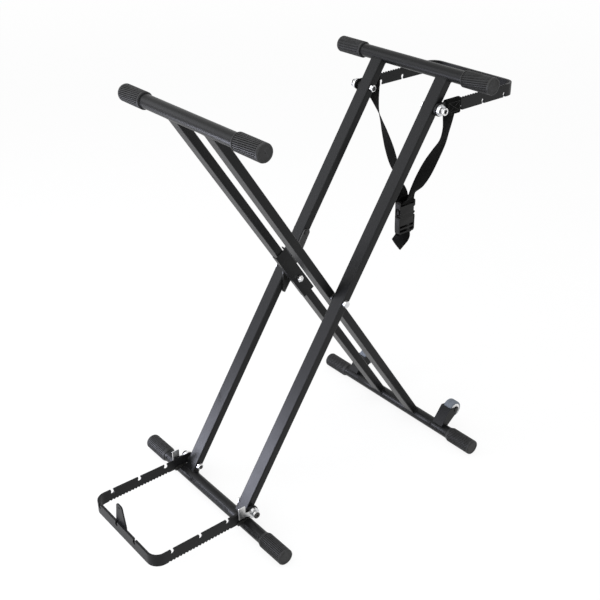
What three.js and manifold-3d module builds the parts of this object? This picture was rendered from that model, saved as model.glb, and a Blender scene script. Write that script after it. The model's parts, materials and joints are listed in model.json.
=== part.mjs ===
// Folding scissor stand with double-braced legs, a toe bar low at the front, a handle bar high
// at the back, a webbing strap with a side-release buckle and two transport wheels.
//
// Millimetres, +Z up. X runs from the toe bar to the handle bar, Y along the rails. The origin is
// on the floor, halfway between the two ends. Left is +Y and right is -Y.

import * as THREE from 'three';
import { mergeVertices } from 'three/addons/utils/BufferGeometryUtils.js';
import Module from 'manifold-3d';

const wasm = await Module();
wasm.setup();

// ------------------------------------------------------------------ driving dimensions

// Clearances
const touchGap = 0.3; // between faces that touch on the real stand
const runGap = 0.3; // around a pin in its hole
const slideGap = 0.85; // between the hanging strap and the faces it hangs past

// Legs: flat-sided tube, two in the outer frame and two inside them
const legHalf = 480; // main pivot to either rail
const legSlope = THREE.MathUtils.degToRad(56.8); // leg to floor
const legWidth = 30; // along Y
const legDepth = 17;
const legCorner = 2.5;
const legWall = 1.3;
const outerLegY = 89.5;
const legPairGap = 5; // outer leg to inner leg
const armGap = 5; // outer leg to a bar's arm

// Rails and their rubber ends
const railRadius = 13.3;
const railWall = 1.5;
const topRailHalf = 208; // with its caps
const footRailHalf = 238; // with its feet
const capWall = 2.9;
const capLength = 69;
const capEnd = 4; // thickness of a cap's closed end
const capBevel = 2.5;

// Toe bar and handle bar: flat bar on edge, bent to a U
const barHeight = 25;
const barThick = 5;
const barBend = 25; // outer radius of its two bends
const toeReach = 229.5; // pivot to the outside of the cross piece
const handleReach = 222.5;
const toePivotRise = 27; // foot rail's axis up the outer leg to the toe bar's pivot
const handlePivotDrop = 70; // top rail's axis down the outer leg to the handle bar's pivot
const toothPitch = 7.3;
const toothDepth = 2.5;
const toothLand = 2.2; // flat left on each tooth
const toothStart = 52; // from the bar's pivot
const notchMouth = 6; // keyhole notches in the other edge
const notchRadius = 4.5;
const notchDepth = 11;
const armNotches = [60, 123.5, 187]; // from the bar's pivot
const crossNotches = [88, 22, -44]; // along the cross piece

// Tab that stands on the toe bar
const tabY = 12.3;
const tabBase = 36.5;
const tabTop = 22;
const tabRise = 45; // above the bar
const tabLap = 20; // down the bar's inner face
const tabThick = 3;
const tabCorner = 8;
const tabHole = 2.5; // radius
const tabHoleDrop = 7; // below the tab's top

// Saddle clips that seat the toe bar's arms on the foot rail
const clipThick = 2;
const clipEnd = 38; // from the toe bar's pivot
const clipCheek = 6.5; // height of its cheeks beside the arm

// Bolts, nuts and washers
const boltRadius = 4;
const nutAcross = 13; // across flats
const nutHeight = 7;
const headHeight = 5.2;
const threadOut = 1.6; // thread past a nut
const spacerRadius = 9;
const collarRadius = 7; // spacer between an outer leg and an arm

// Spring locks at the four arm pivots
const lockRadius = 11;
const lockRim = 6; // length of the lock's ring along Y
const lockPlate = 2;
const earInner = 22; // from the pivot along the arm
const earOuter = 38;
const earBottom = 3; // above the pivot
const earTop = 30;
const springRoom = 6.8; // ring to the stub's end flange
const springWire = 1.2;
const springClear = 1; // coil to stub
const springTurns = 3.5;
const stubFlangeLip = 0.6; // past the coil
const stubFlangeThick = 2;

// Latch of the main pivot, on the left
const hubRadius = 11;
const hubTeeth = 12;
const hubToothDepth = 2.2;
const latchThick = 2.8;
const latchPinAt = 90; // main pivot up the outer leg
const latchPinRadius = 3;
const latchPinHead = 6;
const latchPinHeadThick = 1.2;
const latchHalf = 8; // half its width away from the window
const latchRim = 3.5; // around the window
const latchThrow = 3.6; // how far it lifts off the hub
const latchToothClear = 0.4;
const latchTail = 42; // main pivot down to the end of its tail
const channelUp = 84; // reinforcing channel, up the inner leg from the main pivot
const channelDown = 49;
const channelWidth = 29.5;
const channelFlange = 12;
const channelThick = 2;

// Transport wheels
const wheelRadius = 18.5;
const wheelWidth = 22;
const wheelHub = 9; // radius
const axleRadius = 3;
const axleHead = 5.5;
const axleHeadThick = 2;
const bracketY = 141; // middle of the bracket
const bracketWidth = 28;
const bracketThick = 2;
const bracketFoot = [-12, 16]; // outer edge of its back, from the foot rail's axis in X and Z
const bracketTop = [14.5, 51];
const bracketHeel = [8.4, 10.7];
const wheelAt = [33.5, 41];
const axleLand = 8; // bracket radius around the axle

// Strap: webbing, looped round the handle bar's arms, with a buckle
const webWidth = 38;
const webThick = 1.5;
const webAt = 35.5; // handle bar's pivot to the middle of the loops
const webDrop = 46; // arm's middle down to where the strap leaves the arm's side
const buckleY = -2;
const buckleDrop = 221.2; // arm's middle down to the top of the buckle
const socketHeight = 43;
const plugHeight = 38.7;
const buckleWidth = 46;
const buckleThick = 12;
const buckleCorner = 5;
const prongWidth = 8;
const prongReach = 24;
const webBack = 10.5; // strap that passes behind the buckle, from the buckle's middle
const tailOutline = [[-12, -28], [12, -49], [37, -41], [30, -22], [8, -8], [-8, -8]]; // below the buckle

// ------------------------------------------------------------------ what follows from them

const innerLegY = outerLegY - legWidth - legPairGap;
const outerLegFace = outerLegY + legWidth / 2;
const outerLegInside = outerLegY - legWidth / 2;
const innerLegFace = innerLegY + legWidth / 2;
const innerLegInside = innerLegY - legWidth / 2;
const armInside = outerLegFace + armGap;
const armY = armInside + barThick / 2;
const armOutside = armInside + barThick;
const capRadius = railRadius + touchGap + capWall;
const pivotZ = capRadius + legHalf * Math.sin(legSlope);
const holeRadius = boltRadius + runGap;
const lockFace = armOutside + touchGap;
const springRadius = boltRadius + springClear + springWire / 2;
const stubFlange = springRadius + springWire / 2 + stubFlangeLip;
const stubEnd = lockFace + lockRim + springRoom + stubFlangeThick;
const clipStart = lockRadius + 2 * touchGap;

const alongLeg = (distance) => [
  distance * Math.cos(legSlope),
  pivotZ + distance * Math.sin(legSlope),
];
const toePivotAt = legHalf - toePivotRise;
const handlePivotAt = legHalf - handlePivotDrop;
const [toeX, toeZ] = alongLeg(-toePivotAt);
const [handleX, handleZ] = alongLeg(handlePivotAt);
const [outerFootX, outerFootZ] = alongLeg(-legHalf);
const frontX = toeX - toeReach;
const backX = handleX + handleReach;
const buckleTop = handleZ - buckleDrop;
const buckleJoint = buckleTop - socketHeight;
const buckleBottom = buckleJoint - touchGap - plugHeight;

// ------------------------------------------------------------------ materials

const finish = (color, roughness, metalness) =>
  new THREE.MeshStandardMaterial({ color, roughness, metalness });

const blackPaint = () => finish(0x1b1b1e, 0.42, 0.3);
const blackRubber = () => finish(0x141414, 0.85, 0);
const zinc = () => finish(0xc9ccd2, 0.3, 1);
const blackSteel = () => finish(0x202022, 0.5, 0.6);
const wheelRubber = () => finish(0x3a4350, 0.75, 0);
const wheelPlastic = () => finish(0xd9dad8, 0.5, 0);
const webbing = () => finish(0x121214, 0.95, 0);
const bucklePlastic = () => finish(0x17171a, 0.4, 0);

// ------------------------------------------------------------------ geometry helpers

const axisX = new THREE.Vector3(1, 0, 0);
const axisY = new THREE.Vector3(0, 1, 0);
const axisZ = new THREE.Vector3(0, 0, 1);

function extruded(outline, depth, curveSegments = 6) {
  return new THREE.ExtrudeGeometry(outline, { depth, curveSegments, bevelEnabled: false });
}

// An outline in X and Z, given a thickness along Y about y = 0.
function slabY(outline, thickness, curveSegments) {
  const turn = new THREE.Matrix4().makeBasis(axisX, axisZ, axisY.clone().negate());
  return extruded(outline, thickness, curveSegments).applyMatrix4(turn).translate(0, thickness / 2, 0);
}

// An outline in Y and Z, given a length along X about x = 0.
function slabX(outline, length, curveSegments) {
  const turn = new THREE.Matrix4().makeBasis(axisY, axisZ, axisX);
  return extruded(outline, length, curveSegments).applyMatrix4(turn).translate(-length / 2, 0, 0);
}

// An outline in X and Y, given a height along Z about z = 0.
function slabZ(outline, height, curveSegments) {
  return extruded(outline, height, curveSegments).translate(0, 0, -height / 2);
}

function polygon(points) {
  return new THREE.Shape(points.map(([x, y]) => new THREE.Vector2(x, y)));
}

function roundedBox(width, height, radius) {
  const x = width / 2 - radius;
  const y = height / 2 - radius;
  const quarter = Math.PI / 2;
  const outline = new THREE.Shape();
  outline.absarc(x, y, radius, 0, quarter);
  outline.absarc(-x, y, radius, quarter, 2 * quarter);
  outline.absarc(-x, -y, radius, 2 * quarter, 3 * quarter);
  outline.absarc(x, -y, radius, 3 * quarter, 4 * quarter);
  return outline;
}

// A round piece about the Y axis. The profile's points are [radius, y], in order of rising y on
// its outside.
function turned(profile, segments = 24) {
  const points = profile.map(([radius, y]) => new THREE.Vector2(radius, y));
  return new THREE.LatheGeometry(points, segments);
}

function ring(inner, outer, from, to, segments) {
  return turned([[inner, from], [outer, from], [outer, to], [inner, to], [inner, from]], segments);
}

function rod(radius, from, to, segments) {
  return turned([[0, from], [radius, from], [radius, to], [0, to]], segments);
}

function hexagon(across, from, to) {
  return rod(across / Math.sqrt(3), from, to, 6);
}

// A strip of even thickness along a line of [y, z] points, as an outline in Y and Z.
function strip(line, thickness) {
  const points = line.map(([y, z]) => new THREE.Vector2(y, z));
  const sides = [[], []];
  points.forEach((point, index) => {
    const before = points[Math.max(index - 1, 0)];
    const after = points[Math.min(index + 1, points.length - 1)];
    const inward = point.clone().sub(before).normalize();
    const outward = after.clone().sub(point).normalize();
    const along = inward.add(outward).normalize();
    const across = new THREE.Vector2(-along.y, along.x).multiplyScalar(thickness / 2);
    sides[0].push(point.clone().add(across));
    sides[1].unshift(point.clone().sub(across));
  });
  return new THREE.Shape([...sides[0], ...sides[1]]);
}

// ------------------------------------------------------------------ joining and cutting

function toSolid(geometry) {
  const bare = new THREE.BufferGeometry();
  bare.setAttribute('position', geometry.getAttribute('position').clone());
  bare.setIndex(geometry.index);
  const merged = mergeVertices(bare, 1e-4);
  const corners = merged.index.array;
  const triangles = [];
  for (let i = 0; i < corners.length; i += 3) {
    const [a, b, c] = [corners[i], corners[i + 1], corners[i + 2]];
    if (a !== b && b !== c && c !== a) triangles.push(a, b, c);
  }
  return new wasm.Manifold(new wasm.Mesh({
    numProp: 3,
    vertProperties: merged.getAttribute('position').array,
    triVerts: Uint32Array.from(triangles),
  }));
}

function toGeometry(solid) {
  const mesh = solid.getMesh();
  const geometry = new THREE.BufferGeometry();
  geometry.setAttribute('position', new THREE.BufferAttribute(mesh.vertProperties, 3));
  geometry.setIndex(new THREE.BufferAttribute(mesh.triVerts, 1));
  geometry.computeVertexNormals();
  return geometry;
}

function cut(body, ...tools) {
  return toGeometry(tools.reduce((solid, tool) => solid.subtract(toSolid(tool)), toSolid(body)));
}

function joined(body, ...extras) {
  return toGeometry(extras.reduce((solid, extra) => solid.add(toSolid(extra)), toSolid(body)));
}

function common(body, other) {
  return toGeometry(toSolid(body).intersect(toSolid(other)));
}

// ------------------------------------------------------------------ the scene

const stand = new THREE.Group();
stand.position.x = -(frontX + backX) / 2;

const outerFrame = new THREE.Group();
outerFrame.position.z = pivotZ;
outerFrame.rotation.y = -legSlope;
stand.add(outerFrame);

const innerFrame = new THREE.Group();
innerFrame.position.z = pivotZ;
innerFrame.rotation.y = legSlope;
stand.add(innerFrame);

const toeGroup = new THREE.Group();
toeGroup.position.set(toeX, 0, toeZ);
stand.add(toeGroup);

const handleGroup = new THREE.Group();
handleGroup.position.set(handleX, 0, handleZ);
handleGroup.rotation.y = Math.PI;
stand.add(handleGroup);

function place(group, name, geometry, material, x = 0, y = 0, z = 0) {
  const mesh = new THREE.Mesh(geometry, material);
  mesh.name = name;
  mesh.position.set(x, y, z);
  group.add(mesh);
  return mesh;
}

// Turned pieces are drawn for the left side: half a turn about X makes the right-hand one.
function placeTurned(group, name, geometry, material, side, x = 0, z = 0) {
  place(group, name, geometry, material, x, 0, z).rotation.x = side > 0 ? 0 : Math.PI;
}

const sides = [['left', 1], ['right', -1]];

// ------------------------------------------------------------------ legs, rails and rubber ends

// A leg along X: its ends are cut to the rails, and pins run through it along Y.
function leg(holes) {
  const outline = roundedBox(legWidth, legDepth, legCorner);
  const inside = roundedBox(legWidth - 2 * legWall, legDepth - 2 * legWall, legCorner - legWall);
  outline.holes.push(inside);
  const seat = railRadius + touchGap;
  const cutters = [-legHalf, legHalf].map((x) =>
    rod(seat, -legWidth, legWidth, 32).translate(x, 0, 0));
  holes.forEach(([x, radius]) => {
    cutters.push(rod(radius, -legWidth, legWidth, 12).translate(x, 0, 0));
  });
  return cut(slabX(outline, 2 * legHalf, 2), ...cutters);
}

function rail(half) {
  const end = half - capEnd - touchGap;
  return ring(railRadius - railWall, railRadius, -end, end);
}

// A rubber end, pushed over the end of a rail whose overall half length is given.
function rubberEnd(half) {
  const mouth = half - capLength;
  const bore = railRadius + touchGap;
  return turned([
    [0, half - capEnd],
    [bore, half - capEnd],
    [bore, mouth],
    [capRadius - 1, mouth],
    [capRadius, mouth + 1],
    [capRadius, half - capBevel],
    [capRadius - capBevel, half],
    [0, half],
  ]);
}

function buildFrame(group, name, legY, topX, holesBySide) {
  for (const [side, sign] of sides) {
    place(group, `${name}_leg_${side}`, leg(holesBySide[side]), blackPaint(), 0, sign * legY);
    placeTurned(group, `${name}_top_cap_${side}`, rubberEnd(topRailHalf), blackRubber(), sign, topX);
    placeTurned(group, `${name}_foot_cap_${side}`, rubberEnd(footRailHalf), blackRubber(), sign, -topX);
  }
  place(group, `${name}_top_rail`, rail(topRailHalf), blackPaint(), topX);
  place(group, `${name}_foot_rail`, rail(footRailHalf), blackPaint(), -topX);
}

const outerHoles = [[0, holeRadius], [-toePivotAt, holeRadius], [handlePivotAt, holeRadius]];
buildFrame(outerFrame, 'outer', outerLegY, legHalf, {
  left: [...outerHoles, [latchPinAt, latchPinRadius + runGap]],
  right: outerHoles,
});
buildFrame(innerFrame, 'inner', innerLegY, -legHalf, {
  left: [[0, holeRadius]],
  right: [[0, holeRadius]],
});

// ------------------------------------------------------------------ main pivot

// The left bolt also clamps the reinforcing channel under its nut.
function buildMainPivot() {
  for (const [side, sign] of sides) {
    const under = side === 'left' ? channelThick + touchGap : 0;
    const nutFace = innerLegInside - touchGap - under;
    const tip = nutFace - nutHeight - threadOut;
    const bolt = joined(
      rod(boltRadius, tip, outerLegFace + touchGap + 1, 16),
      hexagon(nutAcross, outerLegFace + touchGap, outerLegFace + touchGap + headHeight),
    );
    const nut = cut(
      hexagon(nutAcross, nutFace - nutHeight, nutFace),
      rod(holeRadius, nutFace - nutHeight - 1, nutFace + 1, 16),
    );
    placeTurned(outerFrame, `pivot_bolt_${side}`, bolt, zinc(), sign);
    placeTurned(outerFrame, `pivot_nut_${side}`, nut, zinc(), sign);
  }
  const washer = ring(holeRadius, spacerRadius, innerLegFace + touchGap, outerLegInside - touchGap, 16);
  placeTurned(outerFrame, 'pivot_washer_right', washer, blackSteel(), -1);
}
buildMainPivot();

// Toothed hub on the inner leg, in the gap between the legs.
function indexHub() {
  const from = innerLegFace + touchGap;
  const to = outerLegInside - touchGap;
  const outline = new THREE.Shape();
  const root = hubRadius - hubToothDepth;
  const step = (2 * Math.PI) / hubTeeth;
  for (let tooth = 0; tooth < hubTeeth; tooth += 1) {
    const middle = tooth * step;
    [[-0.32, root], [-0.2, hubRadius], [0.2, hubRadius], [0.32, root]].forEach(([share, radius]) => {
      const angle = middle + share * step;
      const [x, y] = [radius * Math.cos(angle), radius * Math.sin(angle)];
      if (tooth === 0 && share < -0.3) outline.moveTo(x, y);
      else outline.lineTo(x, y);
    });
  }
  const bore = new THREE.Path();
  bore.absarc(0, 0, holeRadius, 0, 2 * Math.PI);
  outline.holes.push(bore);
  return slabY(outline, to - from).translate(0, (from + to) / 2, 0);
}
place(innerFrame, 'index_hub', indexHub(), blackSteel());

// Channel on the inside of the left inner leg, with its flanges beside the leg.
function hubChannel() {
  const web = innerLegInside - touchGap;
  const back = web - channelThick;
  const rim = back + channelFlange;
  const half = channelWidth / 2;
  const outline = polygon([
    [back, -half], [rim, -half], [rim, -half + channelThick], [web, -half + channelThick],
    [web, half - channelThick], [rim, half - channelThick], [rim, half], [back, half],
  ]);
  const body = slabX(outline, channelUp + channelDown).translate((channelDown - channelUp) / 2, 0, 0);
  return cut(body, rod(holeRadius, back - 1, web + 1, 16));
}
place(innerFrame, 'hub_channel', hubChannel(), blackPaint());

// Latch lever on the inside of the left outer leg: a plate with a window round the hub. It swings
// about its pin far enough to lift its tooth clear of the hub, and it is drawn just lifted.
function latchLever() {
  const window = hubRadius + latchToothClear;
  const rim = window + latchRim;
  const low = -latchThrow;
  const outline = new THREE.Shape();
  outline.moveTo(latchPinAt, latchHalf);
  outline.lineTo(rim, latchHalf);
  outline.absarc(0, 0, rim, Math.asin(latchHalf / rim), Math.PI * 0.8);
  outline.lineTo(-latchTail, -latchHalf);
  outline.lineTo(-latchTail, low - rim + latchRim);
  outline.absarc(0, low, rim, Math.PI * 1.3, 2 * Math.PI - Math.asin(latchHalf / rim));
  outline.lineTo(latchPinAt, -latchHalf);
  outline.absarc(latchPinAt, 0, latchHalf, -Math.PI / 2, Math.PI / 2);
  const opening = new THREE.Path();
  opening.absarc(0, 0, window, 0, Math.PI);
  opening.absarc(0, low, window, Math.PI, 2 * Math.PI);
  const pinHole = new THREE.Path();
  pinHole.absarc(latchPinAt, 0, latchPinRadius + runGap, 0, 2 * Math.PI);
  outline.holes.push(opening, pinHole);
  const face = outerLegInside - touchGap;
  return slabY(outline, latchThick, 8).translate(0, face - latchThick / 2, 0);
}
place(outerFrame, 'latch_lever', latchLever(), blackSteel());

function latchPin() {
  const inner = outerLegInside - touchGap - latchThick - touchGap;
  const outer = outerLegFace + touchGap;
  return turned([
    [0, inner - latchPinHeadThick],
    [latchPinHead, inner - latchPinHeadThick],
    [latchPinHead, inner],
    [latchPinRadius, inner],
    [latchPinRadius, outer],
    [latchPinHead, outer],
    [latchPinHead - 1, outer + 3],
    [0, outer + 3],
  ], 16);
}
place(outerFrame, 'latch_pin', latchPin(), blackSteel(), latchPinAt);

// ------------------------------------------------------------------ toe bar and handle bar

// Both bars are drawn about their pivot, with their arms along -X and their teeth downward. The
// handle bar's group is turned over, so its teeth face up.

function barPlan(reach) {
  const half = armOutside;
  const inner = armInside;
  const bend = barBend - barThick;
  const start = barHeight;
  const plan = new THREE.Shape();
  plan.moveTo(start, half);
  plan.absarc(-reach + barBend, half - barBend, barBend, Math.PI / 2, Math.PI);
  plan.absarc(-reach + barBend, -half + barBend, barBend, Math.PI, 1.5 * Math.PI);
  plan.lineTo(start, -half);
  plan.lineTo(start, -inner);
  plan.absarc(-reach + barBend, -inner + bend, bend, 1.5 * Math.PI, Math.PI, true);
  plan.absarc(-reach + barBend, inner - bend, bend, Math.PI, Math.PI / 2, true);
  plan.lineTo(start, inner);
  return plan;
}

// The bar seen from the side: round at the pivot, toothed along the lower edge of its arms.
function barSide(reach) {
  const half = barHeight / 2;
  const side = new THREE.Shape();
  side.absarc(0, 0, half, -Math.PI / 2, Math.PI / 2);
  side.lineTo(-reach - 1, half);
  side.lineTo(-reach - 1, -half);
  const count = Math.floor((reach - barBend - toothStart) / toothPitch);
  for (let tooth = count; tooth > 0; tooth -= 1) {
    const x = -toothStart - tooth * toothPitch;
    side.lineTo(x, -half);
    side.lineTo(x + (toothPitch - toothLand) / 2, -half + toothDepth);
    side.lineTo(x + toothPitch - toothLand, -half);
  }
  return side;
}

// A keyhole notch whose mouth is at the origin and whose round end is below it.
function notchOutline() {
  const middle = notchRadius - notchDepth;
  const shoulder = Math.acos(notchMouth / 2 / notchRadius);
  const outline = new THREE.Shape();
  outline.moveTo(notchMouth / 2, 1);
  outline.lineTo(-notchMouth / 2, 1);
  outline.absarc(0, middle, notchRadius, Math.PI - shoulder, 2 * Math.PI + shoulder);
  return outline;
}

function bar(reach, extraCutters = []) {
  const blank = common(
    slabZ(barPlan(reach), barHeight, 8),
    slabY(barSide(reach), 3 * armOutside, 8),
  );
  const notch = notchOutline();
  const top = barHeight / 2;
  const cutters = [rod(holeRadius, -armOutside - 1, armOutside + 1, 16)];
  armNotches.forEach((distance) => {
    cutters.push(slabY(notch, 3 * armOutside, 3).translate(-distance, 0, top));
  });
  crossNotches.forEach((y) => {
    cutters.push(slabX(notch, 4 * barThick, 3).translate(-reach, y, top));
  });
  return cut(blank, ...cutters, ...extraCutters);
}

// Where the foot rail lies as the toe bar's pivot sees it.
const footFromToe = [outerFootX - toeX, outerFootZ - toeZ];
const saddleRadius = railRadius + touchGap + clipThick + touchGap;

function footRailCutter(radius) {
  return rod(radius, -2 * armOutside, 2 * armOutside, 32).translate(footFromToe[0], 0, footFromToe[1]);
}

place(toeGroup, 'toe_bar', bar(toeReach, [footRailCutter(saddleRadius)]), blackPaint());
place(handleGroup, 'handle_bar', bar(handleReach), blackPaint());

// Saddle clip under one arm of the toe bar, cut to the arm above it and the foot rail below it.
function restClip() {
  const wide = barThick + 2 * (touchGap + clipThick);
  const bottom = -barHeight / 2 - touchGap - clipThick;
  const top = -barHeight / 2 + clipCheek;
  const middle = -(clipStart + clipEnd) / 2;
  const block = new THREE.BoxGeometry(clipEnd - clipStart, wide, top - bottom)
    .translate(middle, 0, (top + bottom) / 2);
  const armRoom = new THREE.BoxGeometry(2 * clipEnd, barThick + 2 * touchGap, barHeight)
    .translate(middle, 0, -touchGap);
  const arm = cut(armRoom, footRailCutter(saddleRadius - touchGap));
  return cut(block, arm, footRailCutter(railRadius + touchGap));
}

// Tab on the inner face of the toe bar's cross piece.
function toeTab() {
  const bottom = barHeight / 2 - tabLap;
  const shoulder = barHeight / 2;
  const top = shoulder + tabRise;
  const outline = new THREE.Shape();
  outline.moveTo(-tabBase / 2, bottom);
  outline.lineTo(tabBase / 2, bottom);
  outline.lineTo(tabBase / 2, shoulder);
  outline.lineTo(tabTop / 2, top - tabCorner);
  outline.quadraticCurveTo(tabTop / 2, top, tabTop / 2 - tabCorner, top);
  outline.lineTo(-tabTop / 2 + tabCorner, top);
  outline.quadraticCurveTo(-tabTop / 2, top, -tabTop / 2, top - tabCorner);
  outline.lineTo(-tabBase / 2, shoulder);
  const hole = new THREE.Path();
  hole.absarc(0, top - tabHoleDrop, tabHole, 0, 2 * Math.PI);
  outline.holes.push(hole);
  return slabX(outline, tabThick);
}
const tabX = -toeReach + barThick + touchGap + tabThick / 2;
place(toeGroup, 'toe_tab', toeTab(), blackPaint(), tabX, tabY);

// ------------------------------------------------------------------ arm pivots and their locks

// Shouldered bolt through leg and arm: its collar spaces them, its stub carries the lock.
function armBolt() {
  const tip = outerLegInside - touchGap - nutHeight - threadOut;
  const collar = outerLegFace + touchGap;
  return turned([
    [0, tip],
    [boltRadius, tip],
    [boltRadius, collar],
    [collarRadius, collar],
    [collarRadius, armInside - touchGap],
    [boltRadius, armInside - touchGap],
    [boltRadius, stubEnd - stubFlangeThick],
    [stubFlange, stubEnd - stubFlangeThick],
    [stubFlange, stubEnd],
    [0, stubEnd],
  ], 16);
}

function armNut() {
  const face = outerLegInside - touchGap;
  return cut(
    hexagon(nutAcross, face - nutHeight, face),
    rod(holeRadius, face - nutHeight - 1, face + 1, 16),
  );
}

// Ring round the stub. The toe bar's locks also have an ear to pull, beside the arm.
function lockRing() {
  return ring(holeRadius, lockRadius, lockFace, lockFace + lockRim, 16);
}

function lockWithEar() {
  const outline = polygon([
    [0, -lockRadius / 2], [-earInner, earBottom], [-earOuter, earBottom], [-earOuter, earTop],
    [-earInner, earTop], [-earInner, barHeight / 2], [0, lockRadius / 2 + earBottom],
  ]);
  const plate = slabY(outline, lockPlate).translate(0, lockFace + lockPlate / 2, 0);
  const bore = rod(holeRadius, lockFace - 1, lockFace + lockRim + 1, 16);
  return cut(joined(lockRing(), plate), bore);
}

// Compression spring between the ring and the stub's flange.
class Coil extends THREE.Curve {
  constructor(radius, from, length, turns) {
    super();
    Object.assign(this, { radius, from, length, turns });
  }

  getPoint(t, target = new THREE.Vector3()) {
    const angle = 2 * Math.PI * this.turns * t;
    const y = this.from + this.length * t;
    return target.set(this.radius * Math.cos(angle), y, this.radius * Math.sin(angle));
  }
}

function lockSpring() {
  const from = lockFace + lockRim + touchGap + springWire / 2;
  const length = springRoom - 2 * touchGap - springWire;
  const path = new Coil(springRadius, from, length, springTurns);
  const section = new THREE.Shape().absarc(0, 0, springWire / 2, 0, 2 * Math.PI);
  const steps = Math.round(springTurns * 10);
  return new THREE.ExtrudeGeometry(section, {
    extrudePath: path, steps, curveSegments: 3, bevelEnabled: false,
  });
}

// The ear's plate is flat, so the right-hand lock is moved across rather than turned.
function earLock(sign) {
  const lock = lockWithEar();
  return sign > 0 ? lock : lock.translate(0, -2 * lockFace - lockRim, 0);
}

function buildArmPivots(bar, group) {
  for (const [side, sign] of sides) {
    placeTurned(group, `${bar}_bolt_${side}`, armBolt(), blackSteel(), sign);
    placeTurned(group, `${bar}_nut_${side}`, armNut(), zinc(), sign);
    placeTurned(group, `${bar}_spring_${side}`, lockSpring(), zinc(), sign);
  }
}
buildArmPivots('toe', toeGroup);
buildArmPivots('handle', handleGroup);

for (const [side, sign] of sides) {
  place(toeGroup, `toe_lock_${side}`, earLock(sign), zinc());
  placeTurned(handleGroup, `handle_lock_${side}`, lockRing(), zinc(), sign);
  place(toeGroup, `rest_clip_${side}`, restClip(), blackSteel(), 0, sign * armY);
}

// ------------------------------------------------------------------ transport wheels

function bracketOutline() {
  const outline = new THREE.Shape();
  outline.moveTo(...bracketFoot);
  outline.lineTo(...bracketHeel);
  outline.absarc(wheelAt[0], wheelAt[1], axleLand, -0.7, 1.95);
  outline.lineTo(...bracketTop);
  return outline;
}

// Sheet bracket: a back and two cheeks, hollow towards the wheel.
function wheelBracket() {
  const back = new THREE.Vector2(bracketTop[0] - bracketFoot[0], bracketTop[1] - bracketFoot[1]);
  const lean = back.angle();
  const room = new THREE.BoxGeometry(8 * wheelRadius, bracketWidth - 2 * bracketThick, 4 * wheelRadius)
    .translate(0, 0, -2 * wheelRadius - bracketThick)
    .rotateY(-lean)
    .translate(bracketFoot[0], 0, bracketFoot[1]);
  return cut(
    slabY(bracketOutline(), bracketWidth),
    room,
    rod(railRadius + touchGap, -bracketWidth, bracketWidth, 32),
    rod(axleRadius + runGap, -bracketWidth, bracketWidth, 16).translate(wheelAt[0], 0, wheelAt[1]),
  );
}

function wheelTread() {
  const half = wheelWidth / 2;
  const bore = wheelHub + touchGap;
  return turned([
    [bore, -half],
    [wheelRadius - 2, -half],
    [wheelRadius, -half + 2],
    [wheelRadius, half - 2],
    [wheelRadius - 2, half],
    [bore, half],
    [bore, -half],
  ]);
}

// The hub turns with the tread, and its axle stubs run in the bracket's cheeks.
function wheelHubAndAxle() {
  const half = wheelWidth / 2;
  const cheek = bracketWidth / 2 + touchGap;
  const head = cheek + axleHeadThick;
  return turned([
    [0, -head],
    [axleHead, -head],
    [axleHead, -cheek],
    [axleRadius, -cheek],
    [axleRadius, -half],
    [wheelHub, -half],
    [wheelHub, half],
    [axleRadius, half],
    [axleRadius, cheek],
    [axleHead, cheek],
    [axleHead, head],
    [0, head],
  ], 16);
}

for (const [side, sign] of sides) {
  const axle = [-outerFootX + wheelAt[0], sign * bracketY, outerFootZ + wheelAt[1]];
  place(stand, `wheel_bracket_${side}`, wheelBracket(), blackPaint(), -outerFootX, sign * bracketY, outerFootZ);
  place(stand, `wheel_tread_${side}`, wheelTread(), wheelRubber(), ...axle);
  place(stand, `wheel_hub_${side}`, wheelHubAndAxle(), wheelPlastic(), ...axle);
}

// ------------------------------------------------------------------ strap and buckle

const webX = handleX + webAt;
const webSideY = outerLegFace + slideGap + webThick / 2;

// Loop of webbing round one arm of the handle bar.
function strapLoop() {
  const hole = roundedBox(barThick + 2 * touchGap, barHeight + 2 * touchGap, 0.5);
  const outline = roundedBox(
    barThick + 2 * (touchGap + webThick),
    barHeight + 2 * (touchGap + webThick),
    2,
  );
  outline.holes.push(hole);
  return slabX(outline, webWidth, 3);
}

// The strap comes down the inside of the arm, then slants in towards the buckle.
const strapTop = [webSideY, handleZ + 3];
const strapBend = [webSideY, handleZ - webDrop];
const strapInto = [buckleY + buckleThick / 2 - 1, buckleTop + touchGap + webThick];

function rightStrand() {
  const line = [
    strapTop,
    strapBend,
    [strapInto[0] + 2 * buckleThick, strapInto[1] + 3 * buckleThick],
    [-buckleY, strapInto[1]],
  ];
  return slabX(strip(line.map(([y, z]) => [-y, z]), webThick), webWidth);
}

// The left-hand strand passes behind the buckle and turns up into its lower end.
function leftStrand() {
  const behind = buckleY + webBack;
  const line = [
    strapTop,
    strapBend,
    [behind + 2 * buckleThick, buckleTop + 3.5 * buckleThick],
    [behind, buckleTop],
    [behind, buckleBottom - webThick],
    [behind - 3, buckleBottom - webThick - 4],
    [buckleY, buckleBottom - webThick - 5],
  ];
  return slabX(strip(line, webThick), webWidth);
}

function strapTail() {
  return slabX(polygon(tailOutline), webThick).translate(0, 0, buckleBottom);
}

// Buckle pieces stand in X and Z, with their thickness along Y.
function buckleSocket() {
  const body = slabY(roundedBox(buckleWidth, socketHeight, buckleCorner), buckleThick);
  const lower = prongReach / 2 - socketHeight / 2;
  const room = buckleWidth - 2 * buckleCorner;
  const mouth = new THREE.BoxGeometry(room, buckleThick / 2, prongReach + 2)
    .translate(0, 0, lower);
  const windows = [-1, 1].map((sign) =>
    new THREE.BoxGeometry(2 * buckleCorner, buckleThick / 2, prongReach / 2)
      .translate((sign * buckleWidth) / 2, 0, lower));
  return cut(body, mouth, ...windows).translate(0, 0, (buckleTop + buckleJoint) / 2);
}

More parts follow.
